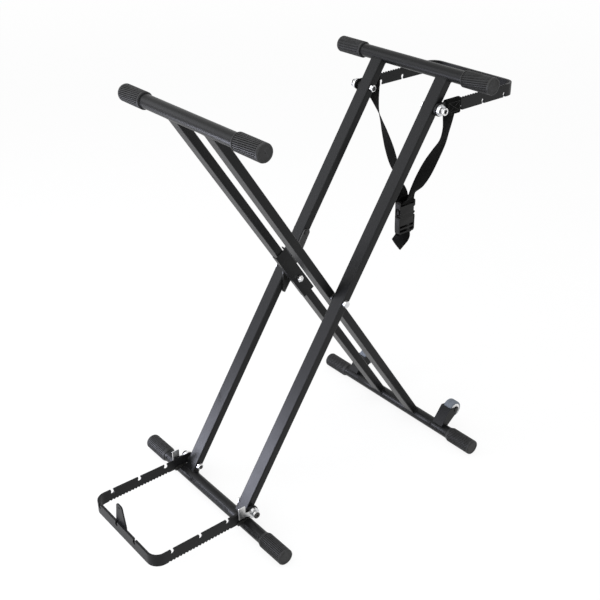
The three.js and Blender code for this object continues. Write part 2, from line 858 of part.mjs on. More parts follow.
function bucklePlug() {
  const body = slabY(roundedBox(buckleWidth, plugHeight, buckleCorner), buckleThick);
  const reach = prongReach - 2;
  const prongAt = buckleWidth / 2 - buckleCorner - prongWidth / 2 - 1;
  const prongs = [-prongAt, 0, prongAt].map((x) =>
    new THREE.BoxGeometry(prongWidth, buckleThick / 2 - 1, reach + 2)
      .translate(x, 0, plugHeight / 2 + reach / 2 - 1));
  const slot = new THREE.BoxGeometry(webWidth, 2 * buckleThick, 4)
    .translate(0, 0, 7 - plugHeight / 2);
  return cut(joined(body, ...prongs), slot).translate(0, 0, buckleBottom + plugHeight / 2);
}

for (const [side, sign] of sides) {
  place(handleGroup, `strap_loop_${side}`, strapLoop(), webbing(), -webAt, sign * armY);
}
place(stand, 'strap_strand_left', leftStrand(), webbing(), webX);
place(stand, 'strap_strand_right', rightStrand(), webbing(), webX);
place(stand, 'strap_tail', strapTail(), webbing(), webX);
place(stand, 'buckle_socket', buckleSocket(), bucklePlastic(), webX, buckleY);
place(stand, 'buckle_plug', bucklePlug(), bucklePlastic(), webX, buckleY);

export default stand;
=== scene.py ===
"""Looks of the folding scissor stand: satin powder-coated legs and rails with ribbed rubber ends, a
toothed toe bar and handle bar, zinc fittings, a black webbing strap with a side-release buckle and
two transport wheels.

Lengths are written in millimetres and turned to metres by MM. +X runs from the toe bar to the
handle bar, +Y along the rails, +Z up. Left is +Y and right is -Y.
"""

import json
import math

import bmesh
import bpy
from mathutils import Matrix, Vector


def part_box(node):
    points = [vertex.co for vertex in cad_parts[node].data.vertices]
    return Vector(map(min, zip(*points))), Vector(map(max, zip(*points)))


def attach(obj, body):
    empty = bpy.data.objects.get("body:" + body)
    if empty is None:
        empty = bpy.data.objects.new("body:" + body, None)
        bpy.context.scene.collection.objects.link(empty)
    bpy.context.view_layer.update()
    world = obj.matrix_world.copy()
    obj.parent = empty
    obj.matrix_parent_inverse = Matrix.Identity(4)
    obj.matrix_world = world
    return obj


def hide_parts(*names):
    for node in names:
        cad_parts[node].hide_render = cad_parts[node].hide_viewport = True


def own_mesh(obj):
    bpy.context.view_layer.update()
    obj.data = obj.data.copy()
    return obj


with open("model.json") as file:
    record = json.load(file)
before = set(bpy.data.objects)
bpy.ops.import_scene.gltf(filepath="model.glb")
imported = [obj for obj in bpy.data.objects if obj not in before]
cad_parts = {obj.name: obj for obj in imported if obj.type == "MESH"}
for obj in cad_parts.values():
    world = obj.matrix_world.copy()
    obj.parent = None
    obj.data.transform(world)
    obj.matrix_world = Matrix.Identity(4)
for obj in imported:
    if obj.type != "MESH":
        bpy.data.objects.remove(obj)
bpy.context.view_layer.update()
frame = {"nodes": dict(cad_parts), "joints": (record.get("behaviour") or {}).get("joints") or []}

MM = 0.001
SIDES = (("left", 1), ("right", -1))
ALONG_Y = (math.pi / 2, 0, 0)  # turns a primitive that stands along Z
MERGE = 0.002 * MM
joints = {joint["name"]: joint for joint in frame["joints"]}


def span(node):
    """Lowest and highest corner of a CAD node, in millimetres."""
    low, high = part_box(node)
    return low / MM, high / MM


def middle(node):
    low, high = span(node)
    return (low + high) / 2


def reach(node, sign):
    """How near to the stand's middle plane a node comes, and how far from it, on its own side."""
    low, high = span(node)
    return (low.y, high.y) if sign > 0 else (-high.y, -low.y)


def pivot(joint):
    """A point on a joint's axis, in millimetres."""
    return Vector(joints[joint]["pos_m"]) / MM


# ------------------------------------------------------------------ modelling by hand, in code


def activate(piece):
    """Leaves edit mode and selects one piece alone."""
    if bpy.context.mode != "OBJECT":
        bpy.ops.object.mode_set(mode="OBJECT")
    bpy.ops.object.select_all(action="DESELECT")
    piece.select_set(True)
    bpy.context.view_layer.objects.active = piece


def freeze(piece):
    """Puts a piece's place, turn and size into its mesh."""
    activate(piece)
    bpy.ops.object.transform_apply(location=True, rotation=True, scale=True)


def primitive(kind, name, **settings):
    """A mesh primitive at its size and place. Locations and sizes come in millimetres."""
    bpy.ops.object.select_all(action="DESELECT")
    for key in ("location", "radius", "depth", "size", "radius1", "radius2"):
        if key in settings:
            value = settings[key]
            settings[key] = value * MM if isinstance(value, (int, float)) else Vector(value) * MM
    getattr(bpy.ops.mesh, f"primitive_{kind}_add")(**settings)
    piece = bpy.context.active_object
    piece.name = piece.data.name = name
    freeze(piece)
    return piece


def block(name, low, high):
    """A box between two corners."""
    low, high = Vector(low), Vector(high)
    return primitive("cube", name, size=1 / MM, location=(low + high) / 2, scale=(high - low) * MM)


class Editing:
    """Edit mode on one piece, with nothing selected at first. Tests get millimetres."""

    def __init__(self, piece):
        self.piece = piece

    def __enter__(self):
        activate(self.piece)
        bpy.ops.object.mode_set(mode="EDIT")
        bpy.ops.mesh.select_mode(type="VERT")
        bpy.ops.mesh.select_all(action="DESELECT")
        return self

    def __exit__(self, *_):
        bpy.ops.object.mode_set(mode="OBJECT")

    def _choose(self, kind, mode, test):
        bpy.ops.mesh.select_mode(type=mode)
        bpy.ops.mesh.select_all(action="DESELECT")
        mesh = bmesh.from_edit_mesh(self.piece.data)
        for part in getattr(mesh, kind):
            if test(part):
                part.select_set(True)
        mesh.select_flush_mode()
        bmesh.update_edit_mesh(self.piece.data)

    def faces(self, test):
        """Selects the faces for which test(middle, normal) holds."""
        self._choose("faces", "FACE", lambda face: test(face.calc_center_median() / MM, face.normal))

    def edges(self, test):
        """Selects the edges for which test(middle, direction) holds."""

        def holds(edge):
            one, two = (vert.co / MM for vert in edge.verts)
            return test((one + two) / 2, (two - one).normalized())

        self._choose("edges", "EDGE", holds)

    def everything(self):
        bpy.ops.mesh.select_all(action="SELECT")

    def tidy(self):
        """Merges doubles and turns every face outwards."""
        bpy.ops.mesh.select_mode(type="VERT")
        self.everything()
        bpy.ops.mesh.remove_doubles(threshold=MERGE)
        bpy.ops.mesh.normals_make_consistent(inside=False)


def modify(piece, kind, **settings):
    """Adds one modifier and applies it."""
    activate(piece)
    modifier = piece.modifiers.new(kind.title(), kind)
    for key, value in settings.items():
        setattr(modifier, key, value)
    bpy.ops.object.modifier_apply(modifier=modifier.name)


def soften(piece, width, segments=2, angle=32):
    """Rounds every edge sharper than an angle, and keeps the flats flat."""
    activate(piece)
    bpy.ops.object.shade_smooth()
    modify(
        piece, "BEVEL", limit_method="ANGLE", angle_limit=math.radians(angle), width=width * MM,
        segments=segments, harden_normals=True, use_clamp_overlap=True,
    )


def smooth(piece, angle):
    """Shades a piece smooth, but for edges sharper than an angle."""
    activate(piece)
    bpy.ops.object.shade_smooth_by_angle(angle=math.radians(angle))
    return piece


def combine(piece, operation, *tools):
    """Cuts or joins solids, and removes the tools."""
    for tool in tools:
        modify(piece, "BOOLEAN", operation=operation, object=tool, solver="EXACT")
        bpy.data.objects.remove(tool)
    return piece


def gather(name, pieces):
    """Joins separate meshes into one piece."""
    activate(pieces[0])
    for piece in pieces[1:]:
        piece.select_set(True)
    bpy.ops.object.join()
    pieces[0].name = pieces[0].data.name = name
    return pieces[0]


def add_object(name, data):
    """A new object, linked to the scene."""
    added = bpy.data.objects.new(name, data)
    bpy.context.scene.collection.objects.link(added)
    return added


def copy_of(piece, name, matrix=None):
    """A copy with its own mesh, moved by a matrix in metres."""
    copied = add_object(name, piece.data.copy())
    if matrix is not None:
        copied.data.transform(matrix)
    return copied


def cad_copy(node, name):
    """A copy of a CAD node's mesh with its triangles merged back into flats."""
    copied = copy_of(frame["nodes"][node], name)
    copied.data.materials.clear()
    activate(copied)
    if copied.data.has_custom_normals:
        bpy.ops.mesh.customdata_custom_splitnormals_clear()
    with Editing(copied) as edit:
        edit.everything()
        bpy.ops.mesh.remove_doubles(threshold=MERGE)
        bpy.ops.mesh.dissolve_limited(angle_limit=math.radians(0.6))
    return copied


def turned(name, profile, at, segments=48, hollow=False):
    """A round piece about an axis along Y through a point. The profile is [(radius, y), ...]; a
    hollow one is a closed loop."""
    (radius, y), rest = profile[0], profile[1:]
    if hollow:
        rest = rest + profile[:1]
    piece = primitive(
        "circle", name, vertices=segments, radius=radius, fill_type="NOTHING",
        location=(at.x, y, at.z), rotation=ALONG_Y,
    )
    with Editing(piece) as edit:
        bpy.ops.mesh.select_mode(type="EDGE")
        edit.everything()
        for next_radius, next_y in rest:
            bpy.ops.mesh.extrude_edges_move(TRANSFORM_OT_translate={"value": (0, (next_y - y) * MM, 0)})
            share = next_radius / radius
            centre = Vector((at.x, next_y, at.z)) * MM
            bpy.ops.transform.resize(value=(share, 1, share), center_override=centre)
            radius, y = next_radius, next_y
        if not hollow:
            edit.everything()
            bpy.ops.mesh.fill_holes(sides=0)
        edit.tidy()
    return piece


def outward(profile, sign):
    """A profile drawn for the left side, as it is there or mirrored for the right."""
    return [(radius, sign * y) for radius, y in profile]


# ------------------------------------------------------------------ shader sums


class Value:
    """A socket of a material, so that shader sums are written as sums."""

    def __init__(self, finish, socket):
        self.finish = finish
        self.socket = socket

    def beside(self, name):
        """Another output of the node that this value comes from."""
        return Value(self.finish, self.socket.node.outputs[name])

    def sum(self, operation, first, second=None):
        inputs = {0: first} if second is None else {0: first, 1: second}
        return self.finish.node("Math", {"operation": operation}, inputs)

    def __add__(self, other):
        return self.sum("ADD", self, other)

    __radd__ = __add__

    def __sub__(self, other):
        return self.sum("SUBTRACT", self, other)

    def __rsub__(self, other):
        return self.sum("SUBTRACT", other, self)

    def __mul__(self, other):
        return self.sum("MULTIPLY", self, other)

    __rmul__ = __mul__

    def wave(self, length):
        """Swings between -1 and 1, once in each length, in millimetres."""
        return self.sum("SINE", self * (2 * math.pi / (length * MM)))

    def size(self):
        return self.sum("ABSOLUTE", self)

    def within(self, low, high):
        """0 below low, 1 above high and smooth between them."""
        return self.finish.node(
            "MapRange", {"interpolation_type": "SMOOTHSTEP"},
            {"Value": self, "From Min": low, "From Max": high, "To Min": 0.0, "To Max": 1.0},
        )


class Finish:
    """A node tree under construction: of a material, or of the world."""

    def __init__(self, owner):
        owner.use_nodes = True
        self.owner = owner
        self.tree = owner.node_tree
        self.tree.nodes.clear()

    def node(self, kind, settings=None, inputs=None, output=0):
        """One node, its settings set first. It comes back as the value of one of its outputs."""
        made = self.tree.nodes.new("ShaderNode" + kind)
        for key, value in (settings or {}).items():
            setattr(made, key, value)
        for key, value in (inputs or {}).items():
            if isinstance(value, Value):
                self.tree.links.new(value.socket, made.inputs[key])
            else:
                made.inputs[key].default_value = value
        return Value(self, made.outputs[output]) if made.outputs else made

    def place(self):
        """Object coordinates, in metres."""
        return self.node("TexCoord", output="Object")

    def stretched(self, scale, place=None):
        """Coordinates stretched per axis."""
        return self.node("Mapping", inputs={"Vector": place or self.place(), "Scale": scale})

    def noise(self, scale, detail, roughness=0.5, place=None):
        return self.node("TexNoise", inputs={
            "Vector": place or self.place(), "Scale": scale, "Detail": detail, "Roughness": roughness,
        })

    def cells(self, scale):
        return self.node("TexVoronoi", inputs={"Vector": self.place(), "Scale": scale})

    def mix(self, share, one, two):
        """A colour between one, at share 0, and two, at share 1."""
        return self.node("Mix", {"data_type": "RGBA"}, {0: share, 6: one, 7: two}, output=2)

    def bump(self, height, depth, strength):
        """A normal that follows a height, whose full swing is a depth in millimetres."""
        return self.node("Bump", inputs={"Height": height, "Distance": depth * MM, "Strength": strength})

    def surface(self, **sockets):
        """Ends the material with a shader whose sockets are given by name."""
        named = {key.replace("_", " "): value for key, value in sockets.items()}
        shader = self.node("BsdfPrincipled", inputs=named)
        self.node("OutputMaterial", inputs={"Surface": shader})
        return self.owner


def new_finish(name):
    """A new material, ready for its nodes."""
    return Finish(bpy.data.materials.new(name))


def grey(level, warm=0.0):
    """A near-neutral colour; warm above 0 leans to yellow and below 0 to blue."""
    return (level * (1 + warm), level, level * (1 - 1.6 * warm), 1.0)


def powder_coat():
    finish = new_finish("satin_black_powder_coat")
    peel = finish.noise(850, 1.5)
    grain = finish.noise(3600, 1.0)
    clouds = finish.noise(17, 3.0)
    scratches = finish.noise(55, 4.0, 0.62, finish.stretched((9.0, 1.3, 1.3)))
    scuff = (scratches * clouds).within(0.335, 0.43)
    colour = finish.mix(clouds, grey(0.0048, -0.04), grey(0.0085, -0.03))
    colour = finish.mix(scuff * 0.4, colour, grey(0.022, 0.0))
    return finish.surface(
        Base_Color=colour,
        Roughness=0.28 + clouds * 0.12 + peel * 0.05 + scuff * 0.18,
        Normal=finish.bump(peel + grain * 0.35, 0.03, 0.3),
        Specular_IOR_Level=0.16,
    )


def rubber():
    """Moulded rubber. The attribute "skin" is 1 on the outer skin and 0 down in the grip's dents, which are
    painted near black as painted shade in the recesses.
    """
    finish = new_finish("black_grip_rubber")
    skin = finish.node("Attribute", {"attribute_name": "skin"}, output=2)
    pores = finish.noise(2300, 2.0)
    bloom = finish.noise(38, 4.0, 0.6)
    rubbed = finish.noise(120, 3.0).within(0.5, 0.72)
    colour = finish.mix(bloom.within(0.35, 0.7), grey(0.012), grey(0.023, -0.02))
    colour = finish.mix(rubbed * 0.4, colour, grey(0.04, -0.02))
    # Painted shade: the dents get a near-black colour, so that the ribs stand out.
    colour = finish.mix(skin.within(0.1, 0.9), grey(0.0025), colour)
    return finish.surface(
        Base_Color=colour,
        Roughness=0.4 + bloom * 0.2 + pores * 0.1 + (1 - skin) * 0.25,
        Normal=finish.bump(pores, 0.06, 0.5),
        Specular_IOR_Level=0.3,
    )


def zinc_plate():
    finish = new_finish("bright_zinc_plate")
    clouds = finish.noise(95, 3.0)
    brushed = finish.noise(420, 2.0, 0.5, finish.stretched((1.0, 7.0, 1.0)))
    spangle = finish.cells(750)
    colour = finish.mix(clouds.within(0.3, 0.7), grey(0.64, -0.02), grey(0.88, 0.015))
    colour = finish.mix(spangle * 0.35, colour, grey(0.52, -0.03))
    return finish.surface(
        Base_Color=colour,
        Metallic=1.0,
        Roughness=0.2 + clouds * 0.14 + brushed * 0.12,
        Normal=finish.bump(brushed + spangle * 0.3, 0.02, 0.5),
    )


def black_oxide():
    finish = new_finish("black_oxide_steel")
    clouds = finish.noise(160, 3.0)
    turning = finish.noise(900, 1.0, 0.5, finish.stretched((1.0, 8.0, 1.0)))
    bright = finish.noise(330, 3.0).within(0.6, 0.74)
    colour = finish.mix(clouds, grey(0.007, 0.02), grey(0.014, 0.03))
    return finish.surface(
        Base_Color=finish.mix(bright * 0.4, colour, grey(0.07, 0.01)),
        Roughness=0.28 + clouds * 0.16,
        Normal=finish.bump(turning, 0.02, 0.5),
        Specular_IOR_Level=0.4,
    )


def wheel_rubber():
    finish = new_finish("grey_wheel_rubber")
    pores = finish.noise(1800, 2.0)
    dust = finish.noise(70, 4.0, 0.6)
    colour = finish.mix(dust, (0.075, 0.092, 0.118, 1.0), (0.135, 0.155, 0.185, 1.0))
    return finish.surface(
        Base_Color=finish.mix(pores.within(0.45, 0.7) * 0.3, colour, grey(0.2, 0.02)),
        Roughness=0.55 + dust * 0.25,
        Normal=finish.bump(pores, 0.06, 0.5),
    )


def wheel_plastic():
    finish = new_finish("white_wheel_plastic")
    flow = finish.noise(60, 3.0)
    grain = finish.noise(2600, 1.0)
    return finish.surface(
        Base_Color=finish.mix(flow, grey(0.66, 0.01), grey(0.8, 0.0)),
        Roughness=0.34 + flow * 0.15 + grain * 0.06,
        Normal=finish.bump(grain, 0.03, 0.4),
    )


def webbing():
    """Woven strap: its UV map is in metres along and across it. Ribs lie across the strap and sway
    along it, and yarns run along it."""
    sway_length, sway, rib, yarn = 9.5, 0.635, 2.1, 1.25
    finish = new_finish("black_woven_webbing")
    uv = finish.node("UVMap")
    along = finish.node("SeparateXYZ", inputs={"Vector": uv})
    across = along.beside("Y")
    ribs = (along + across.wave(sway_length) * (sway * MM)).wave(rib)
    weave = ribs * 0.5 + across.wave(yarn).size() * 0.5
    place = finish.stretched((1.0, 3.0, 1.0), uv)
    fuzz = finish.noise(2600, 3.0, 0.6, place)
    worn = finish.noise(45, 3.0, 0.55)
    # The colour follows the woven pattern, with the raised ribs and yarns lighter as painted highlight and
    # the hollows between them darker as painted shade.
    colour = finish.mix(weave.within(-0.4, 0.9), grey(0.0008), grey(0.005, 0.01))
    colour = finish.mix(worn.within(0.5, 0.75) * 0.3, colour, grey(0.011, 0.02))
    return finish.surface(
        Base_Color=colour,
        Roughness=0.74 + fuzz * 0.18,
        Normal=finish.bump(weave + fuzz * 0.5, 0.22, 0.8),
        Specular_IOR_Level=0.06,
    )


def stitching():
    finish = new_finish("black_sewing_thread")
    twist = finish.noise(3200, 2.0)
    return finish.surface(
        Base_Color=finish.mix(twist, grey(0.008), grey(0.03, 0.01)),
        Roughness=0.55 + twist * 0.2,
        Normal=finish.bump(twist, 0.08, 0.6),
    )


def buckle_plastic():
    finish = new_finish("black_buckle_plastic")
    grain = finish.noise(2900, 2.0)
    flow = finish.noise(48, 3.0)
    rubbed = finish.noise(260, 3.0).within(0.58, 0.75)
    colour = finish.mix(flow, grey(0.0035), grey(0.0065, 0.02))
    return finish.surface(
        Base_Color=finish.mix(rubbed * 0.4, colour, grey(0.016)),
        Roughness=0.3 + grain * 0.14 + flow * 0.1,
        Normal=finish.bump(grain, 0.035, 0.6),
        Specular_IOR_Level=0.2,
    )


finishes = {
    "black_paint": powder_coat(),
    "black_rubber": rubber(),
    "zinc": zinc_plate(),
    "black_steel": black_oxide(),
    "wheel_rubber": wheel_rubber(),
    "wheel_plastic": wheel_plastic(),
    "webbing": webbing(),
    "buckle_plastic": buckle_plastic(),
}
thread = stitching()


def fit(piece, body, slot, *nodes, finish=None):
    """Gives a finished piece its material, its body and the CAD nodes it stands for."""
    piece.data.materials.clear()
    piece.data.materials.append(finish or finishes[slot])
    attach(piece, body)
    if nodes:
        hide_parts(*nodes)


# ------------------------------------------------------------------ legs, rails and welds

LEG_HALF = 480
LEG_WIDTH = 30
LEG_DEPTH = 17
LEG_CORNER = 2.5
RAIL = 13.3
RAIL_EDGE = 0.8
TOUCH = 0.3
PIN_ROOM = 4.3
LATCH_PIN_ROOM = 3.3
HOLE_LENGTH = 400  # longer than a frame is wide
FRAMES = ("outer", "inner")

fold = pivot("fold")
latch = pivot("latch_lift")


def leg_direction(name):
    """From a frame's foot rail up to its top rail."""
    top, foot = middle(f"{name}_top_rail"), middle(f"{name}_foot_rail")
    return (top - foot).normalized()


def hole(at, radius, segments=32):
    """A round cutter along Y, through both legs of a frame."""
    return primitive(
        "cylinder", "hole", vertices=segments, radius=radius, depth=HOLE_LENGTH,
        location=(at.x, 0, at.z), rotation=ALONG_Y,
    )


def leg(name, side):
    """A flat-sided tube, its ends cut round to sit on the rails."""
    node = f"{name}_leg_{side}"
    along = leg_direction(name)
    half = Vector((LEG_HALF, LEG_WIDTH / 2, LEG_DEPTH / 2))
    piece = block(f"{node}_tube", -half, half)
    with Editing(piece) as edit:
        edit.edges(lambda _, direction: abs(direction.x) > 0.9)
        bpy.ops.mesh.bevel(offset=LEG_CORNER * MM, segments=5)
    piece.rotation_euler.y = -math.atan2(along.z, along.x)
    piece.location = Vector((fold.x, middle(node).y, fold.z)) * MM
    freeze(piece)
    rails = [middle(f"{name}_{which}_rail") for which in ("top", "foot")]
    pins = [fold, pivot("toe_fold"), pivot("handle_fold")] if name == "outer" else [fold]
    tools = [hole(at, RAIL + TOUCH, 96) for at in rails] + [hole(at, PIN_ROOM) for at in pins]
    if node == "outer_leg_left":
        tools.append(hole(latch, LATCH_PIN_ROOM))
    combine(piece, "DIFFERENCE", *tools)
    smooth(piece, 30)
    modify(piece, "WEIGHTED_NORMAL", mode="FACE_AREA", weight=100, keep_sharp=True)
    fit(piece, f"{name}_frame", "black_paint", node)


BEAD = 1.5
BEAD_POINTS = 132
BEAD_OFF_RAIL = 0.25  # how far the bead's middle lies outside the rail
BEAD_OFF_LEG = 0.1
RIPPLE = 0.2  # share of the bead's radius


def leg_outline(share, grown):
    """A point on the leg's rounded section, grown all round, with share from 0 to 1 round it."""
    half = (LEG_WIDTH / 2 - LEG_CORNER, LEG_DEPTH / 2 - LEG_CORNER)
    corners = ((1, -1), (1, 1), (-1, 1), (-1, -1))
    radius = LEG_CORNER + grown
    arc = math.pi / 2 * radius
    walked = share * 4 * (sum(half) + arc)
    for quarter in range(4):
        flat = 2 * half[1 - quarter % 2]
        if walked <= flat + arc:
            break
        walked -= flat + arc
    start, end = corners[quarter], corners[(quarter + 1) % 4]
    passed = min(walked / flat, 1)
    turn = quarter * math.pi / 2 + max(walked - flat, 0) / radius
    wide, deep = (half[axis] * (start[axis] + (end[axis] - start[axis]) * passed) for axis in (0, 1))
    return wide + radius * math.cos(turn), deep + radius * math.sin(turn)


def weld_bead(name, side, which):
    """A rippled bead round the end of a leg, where it sits on its rail."""
    title = f"{name}_{which}_weld_{side}"
    centre = middle(f"{name}_{which}_rail")
    leg_y = middle(f"{name}_leg_{side}").y
    along = leg_direction(name) * (-1 if which == "top" else 1)
    across = Vector((-along.z, 0, along.x))
    curve = bpy.data.curves.new("bead", "CURVE")
    curve.dimensions = "3D"
    curve.bevel_depth = BEAD * MM
    curve.bevel_resolution = 2
    line = curve.splines.new("POLY")
    line.points.add(BEAD_POINTS - 1)
    line.use_cyclic_u = True
    for index, point in enumerate(line.points):
        wide, deep = leg_outline(index / BEAD_POINTS, BEAD_OFF_LEG)
        out = math.sqrt((RAIL + BEAD_OFF_RAIL) ** 2 - deep ** 2)
        at = centre + along * out + across * deep
        at.y = leg_y + wide
        point.co = (*(at * MM), 1)
        point.radius = 1 - RIPPLE + RIPPLE * abs(math.sin(index * math.pi / 4))
    activate(add_object(title, curve))
    bpy.ops.object.convert(target="MESH")
    bead = bpy.context.active_object
    bead.name = title
    fit(smooth(bead, 60), f"{name}_frame", "black_paint")


GROOVE = 1.5  # depth of a groove pressed into a foot rail
GROOVE_SPANS = ((-163, -120), (-66, 66), (120, 163))
GROOVE_ENDS = 4
GROOVE_MIDDLE = 68  # degrees round the rail from its top
GROOVE_HALF = 15


def rail(name, which):
    """A round tube. A foot rail has long grooves pressed into its front and its back, between the
    legs and beside them."""
    node = f"{name}_{which}_rail"
    low, high = span(node)
    stations = {low.y, low.y + RAIL_EDGE, high.y - RAIL_EDGE, high.y}
    if which == "foot":
        for one, two in GROOVE_SPANS:
            stations |= {one, one + GROOVE_ENDS, two - GROOVE_ENDS, two}
    profile = [(RAIL - RAIL_EDGE if y in (low.y, high.y) else RAIL, y) for y in sorted(stations)]
    piece = turned(f"{node}_tube", profile, middle(node), 64)

    def in_groove(at, normal):
        angle = math.degrees(math.atan2(abs(normal.x), normal.z))
        between = any(one < at.y < two for one, two in GROOVE_SPANS)
        return between and abs(normal.y) < 0.3 and abs(angle - GROOVE_MIDDLE) < GROOVE_HALF

    if which == "foot":
        with Editing(piece) as edit:
            edit.faces(in_groove)
            bpy.ops.mesh.inset(thickness=0.9 * MM, depth=-GROOVE * MM, use_outset=False)
        modify(
            piece, "BEVEL", limit_method="ANGLE", angle_limit=math.radians(24), width=0.5 * MM, segments=2,
        )
        with Editing(piece) as edit:
            edit.tidy()
    fit(smooth(piece, 40), f"{name}_frame", "black_paint", node)


for name in FRAMES:
    for side, _ in SIDES:
        leg(name, side)
        for which in ("top", "foot"):
            weld_bead(name, side, which)
    for which in ("top", "foot"):
        rail(name, which)


# ------------------------------------------------------------------ rubber ends

CAP = 16.5
CAP_COLUMNS = 60
CAP_FLOOR = 4  # thickness of the closed end
CAP_MARK = 0.8  # radius of the small mark in the middle of the end
DENT = 0.9
# Rows of dents along the grip, whether each dent stands alone, and how far the ribs wind round, in
# degrees.
GRIPS = {
    "outer_top": (10, False, 62),
    "inner_top": (17, True, 14),
    "outer_foot": (13, True, 0),
    "inner_foot": (13, True, 34),
}


def rubber_end(place, side, sign):
    """A moulded rubber end: a lip or a shoulder at its mouth, a ribbed grip, and a plain bevelled
    end."""
    node = f"{place}_cap_{side}"
    rows, alone, winding = GRIPS[place]
    axis = middle(node)
    mouth, end = reach(node, sign)
    bore = RAIL + TOUCH
    if place.endswith("foot"):
        grip_start = mouth + 7
        opening = [(CAP - 2.1, mouth + 0.6), (CAP - 1.9, mouth + 2.2), (CAP - 0.1, mouth + 6.2)]
    else:
        grip_start = mouth + 4.5
        opening = [
            (CAP - 0.5, mouth), (CAP, mouth + 0.5), (CAP, mouth + 2.4), (CAP - 0.9, mouth + 2.7),
            (CAP - 0.9, mouth + 3.4),
        ]
    grip_end = end - 5
    pitch = (grip_end - grip_start) / rows
    grip = [(CAP, grip_start + row * pitch) for row in range(rows + 1)]
    closed = [
        (CAP, end - 2.6), (CAP - 0.75, end - 0.8), (CAP - 2.4, end), (CAP - 4.2, end),
        (CAP - 4.5, end - 0.5), (CAP_MARK, end - 0.5), (CAP_MARK, end - CAP_FLOOR), (bore, end - CAP_FLOOR),
    ]
    profile = [(bore, mouth)] + opening + grip + closed
    piece = turned(f"{node}_rubber", outward(profile, sign), axis, CAP_COLUMNS)

    def about_axis(at):
        """Distance from the axis, and angle round it."""
        return math.hypot(at.x - axis.x, at.z - axis.z), math.atan2(at.z - axis.z, at.x - axis.x)

    def to_dent(at, normal):
        out, angle = about_axis(at)
        column = int(math.degrees(angle) % 360 // (360 / CAP_COLUMNS))
        outside = out > CAP - 0.2 and abs(normal.y) < 0.2
        return outside and grip_start < abs(at.y) < grip_end and column % 2 == 0

    with Editing(piece) as edit:
        edit.faces(to_dent)
        bpy.ops.mesh.inset(thickness=0.38 * MM, depth=-DENT * MM, use_individual=alone)
        edit.tidy()
    # The attribute "skin" marks the dents, which the rubber finish paints darker as painted shade.
    # The ribs wind round with the skin; the bore stays straight.
    skin = piece.data.attributes.new("skin", "FLOAT", "POINT")
    for vertex in piece.data.vertices:
        at = vertex.co / MM
        out, angle = about_axis(at)
        dented = grip_start < abs(at.y) < grip_end and out < CAP - DENT / 2
        skin.data[vertex.index].value = 0.0 if dented else 1.0
        in_bore = abs(out - bore) < 0.3 and abs(at.y) < end - CAP_FLOOR / 2
        if not in_bore:
            share = min(max((abs(at.y) - grip_start) / (grip_end - grip_start), 0), 1)
            turn = angle + math.radians(winding) * share * sign
            vertex.co = Vector((axis.x + out * math.cos(turn), at.y, axis.z + out * math.sin(turn))) * MM
    fit(smooth(piece, 50), f"{place.split('_')[0]}_frame", "black_rubber", node)


for place in GRIPS:
    for side, sign in SIDES:
        rubber_end(place, side, sign)


# ------------------------------------------------------------------ cut and bent steel parts


def steel_part(node, body, slot, edge):
    """A flat or bent steel part: the CAD shape with its edges broken."""
    piece = cad_copy(node, f"{node}_steel")
    soften(piece, edge)
    fit(piece, body, slot, node)


steel_part("toe_bar", "toe_bar", "black_paint", edge=0.28)
steel_part("handle_bar", "handle_bar", "black_paint", edge=0.28)
steel_part("toe_tab", "toe_bar", "black_paint", edge=0.4)
steel_part("latch_lever", "latch", "black_steel", edge=0.3)
steel_part("index_hub", "inner_frame", "black_steel", edge=0.3)
steel_part("hub_channel", "inner_frame", "black_paint", edge=0.5)
for side, _ in SIDES:
    steel_part(f"rest_clip_{side}", "toe_bar", "black_steel", edge=0.3)
    steel_part(f"toe_lock_{side}", f"toe_lock_{side}", "zinc", edge=0.3)
    steel_part(f"wheel_bracket_{side}", "inner_frame", "black_paint", edge=0.55)


# ------------------------------------------------------------------ bolts, nuts and washers

BOLT = 4
PITCH = 1.25
THREAD_ROOT = BOLT - 0.55
HEX = 13
HEAD = 5.2  # height of the main pivot's bolt heads, with their flange
FLANGE_RIM = 0.9
CHAMFER_WIDTH = 8  # how far the chamfering cone widens over its depth
CHAMFER_DEPTH = CHAMFER_WIDTH * math.tan(math.radians(30))


def threaded(start, length):
    """Thread from start outwards, as rings of one pitch."""
    profile = []
    for turn in range(int(length / PITCH)):
        at = start + turn * PITCH
        profile += [(BOLT, at), (BOLT, at + 0.2), (THREAD_ROOT, at + 0.6), (THREAD_ROOT, at + 0.75)]
    return profile


def hexagon(name, at, seat, free):
    """A hexagon between two heights along Y, its corners chamfered at its free face by a cone. It
    ends where that cone does, if its seat is deeper."""
    sign = 1 if free > seat else -1
    piece = primitive(
        "cylinder", name, vertices=6, radius=HEX / math.sqrt(3), depth=abs(seat - free),
        location=(at.x, (free + seat) / 2, at.z), rotation=(math.pi / 2, math.pi / 6, 0),
    )
    narrow = HEX / 2 - 0.3
    cone = primitive(
        "cone", "chamfer", vertices=48, radius1=narrow + CHAMFER_WIDTH, radius2=narrow,
        depth=CHAMFER_DEPTH, location=(0, 0, 0),
    )
    cone.rotation_euler.x = -sign * math.pi / 2
    cone.location = Vector((at.x, free - sign * CHAMFER_DEPTH / 2, at.z)) * MM
    freeze(cone)
    return combine(piece, "INTERSECT", cone)


def locking_nut(node, at, sign):
    """A nut with a collar on its free side. Its seat faces the leg."""
    free, seat = reach(node, sign)
    collar = turned("collar", outward([
        (6.0, free + 2.2), (5.9, free + 0.7), (5.4, free), (4.6, free), (PIN_ROOM, free + 0.5),
        (PIN_ROOM, free + 2.2),
    ], sign), at, hollow=True)
    nut = hexagon(f"{node}_hex", at, sign * seat, sign * (free + 1.5))
    combine(nut, "DIFFERENCE", hole(at, PIN_ROOM))
    combine(nut, "UNION", collar)
    nut.name = f"{node}_steel"
    fit(smooth(nut, 30), "outer_frame", "zinc", node)


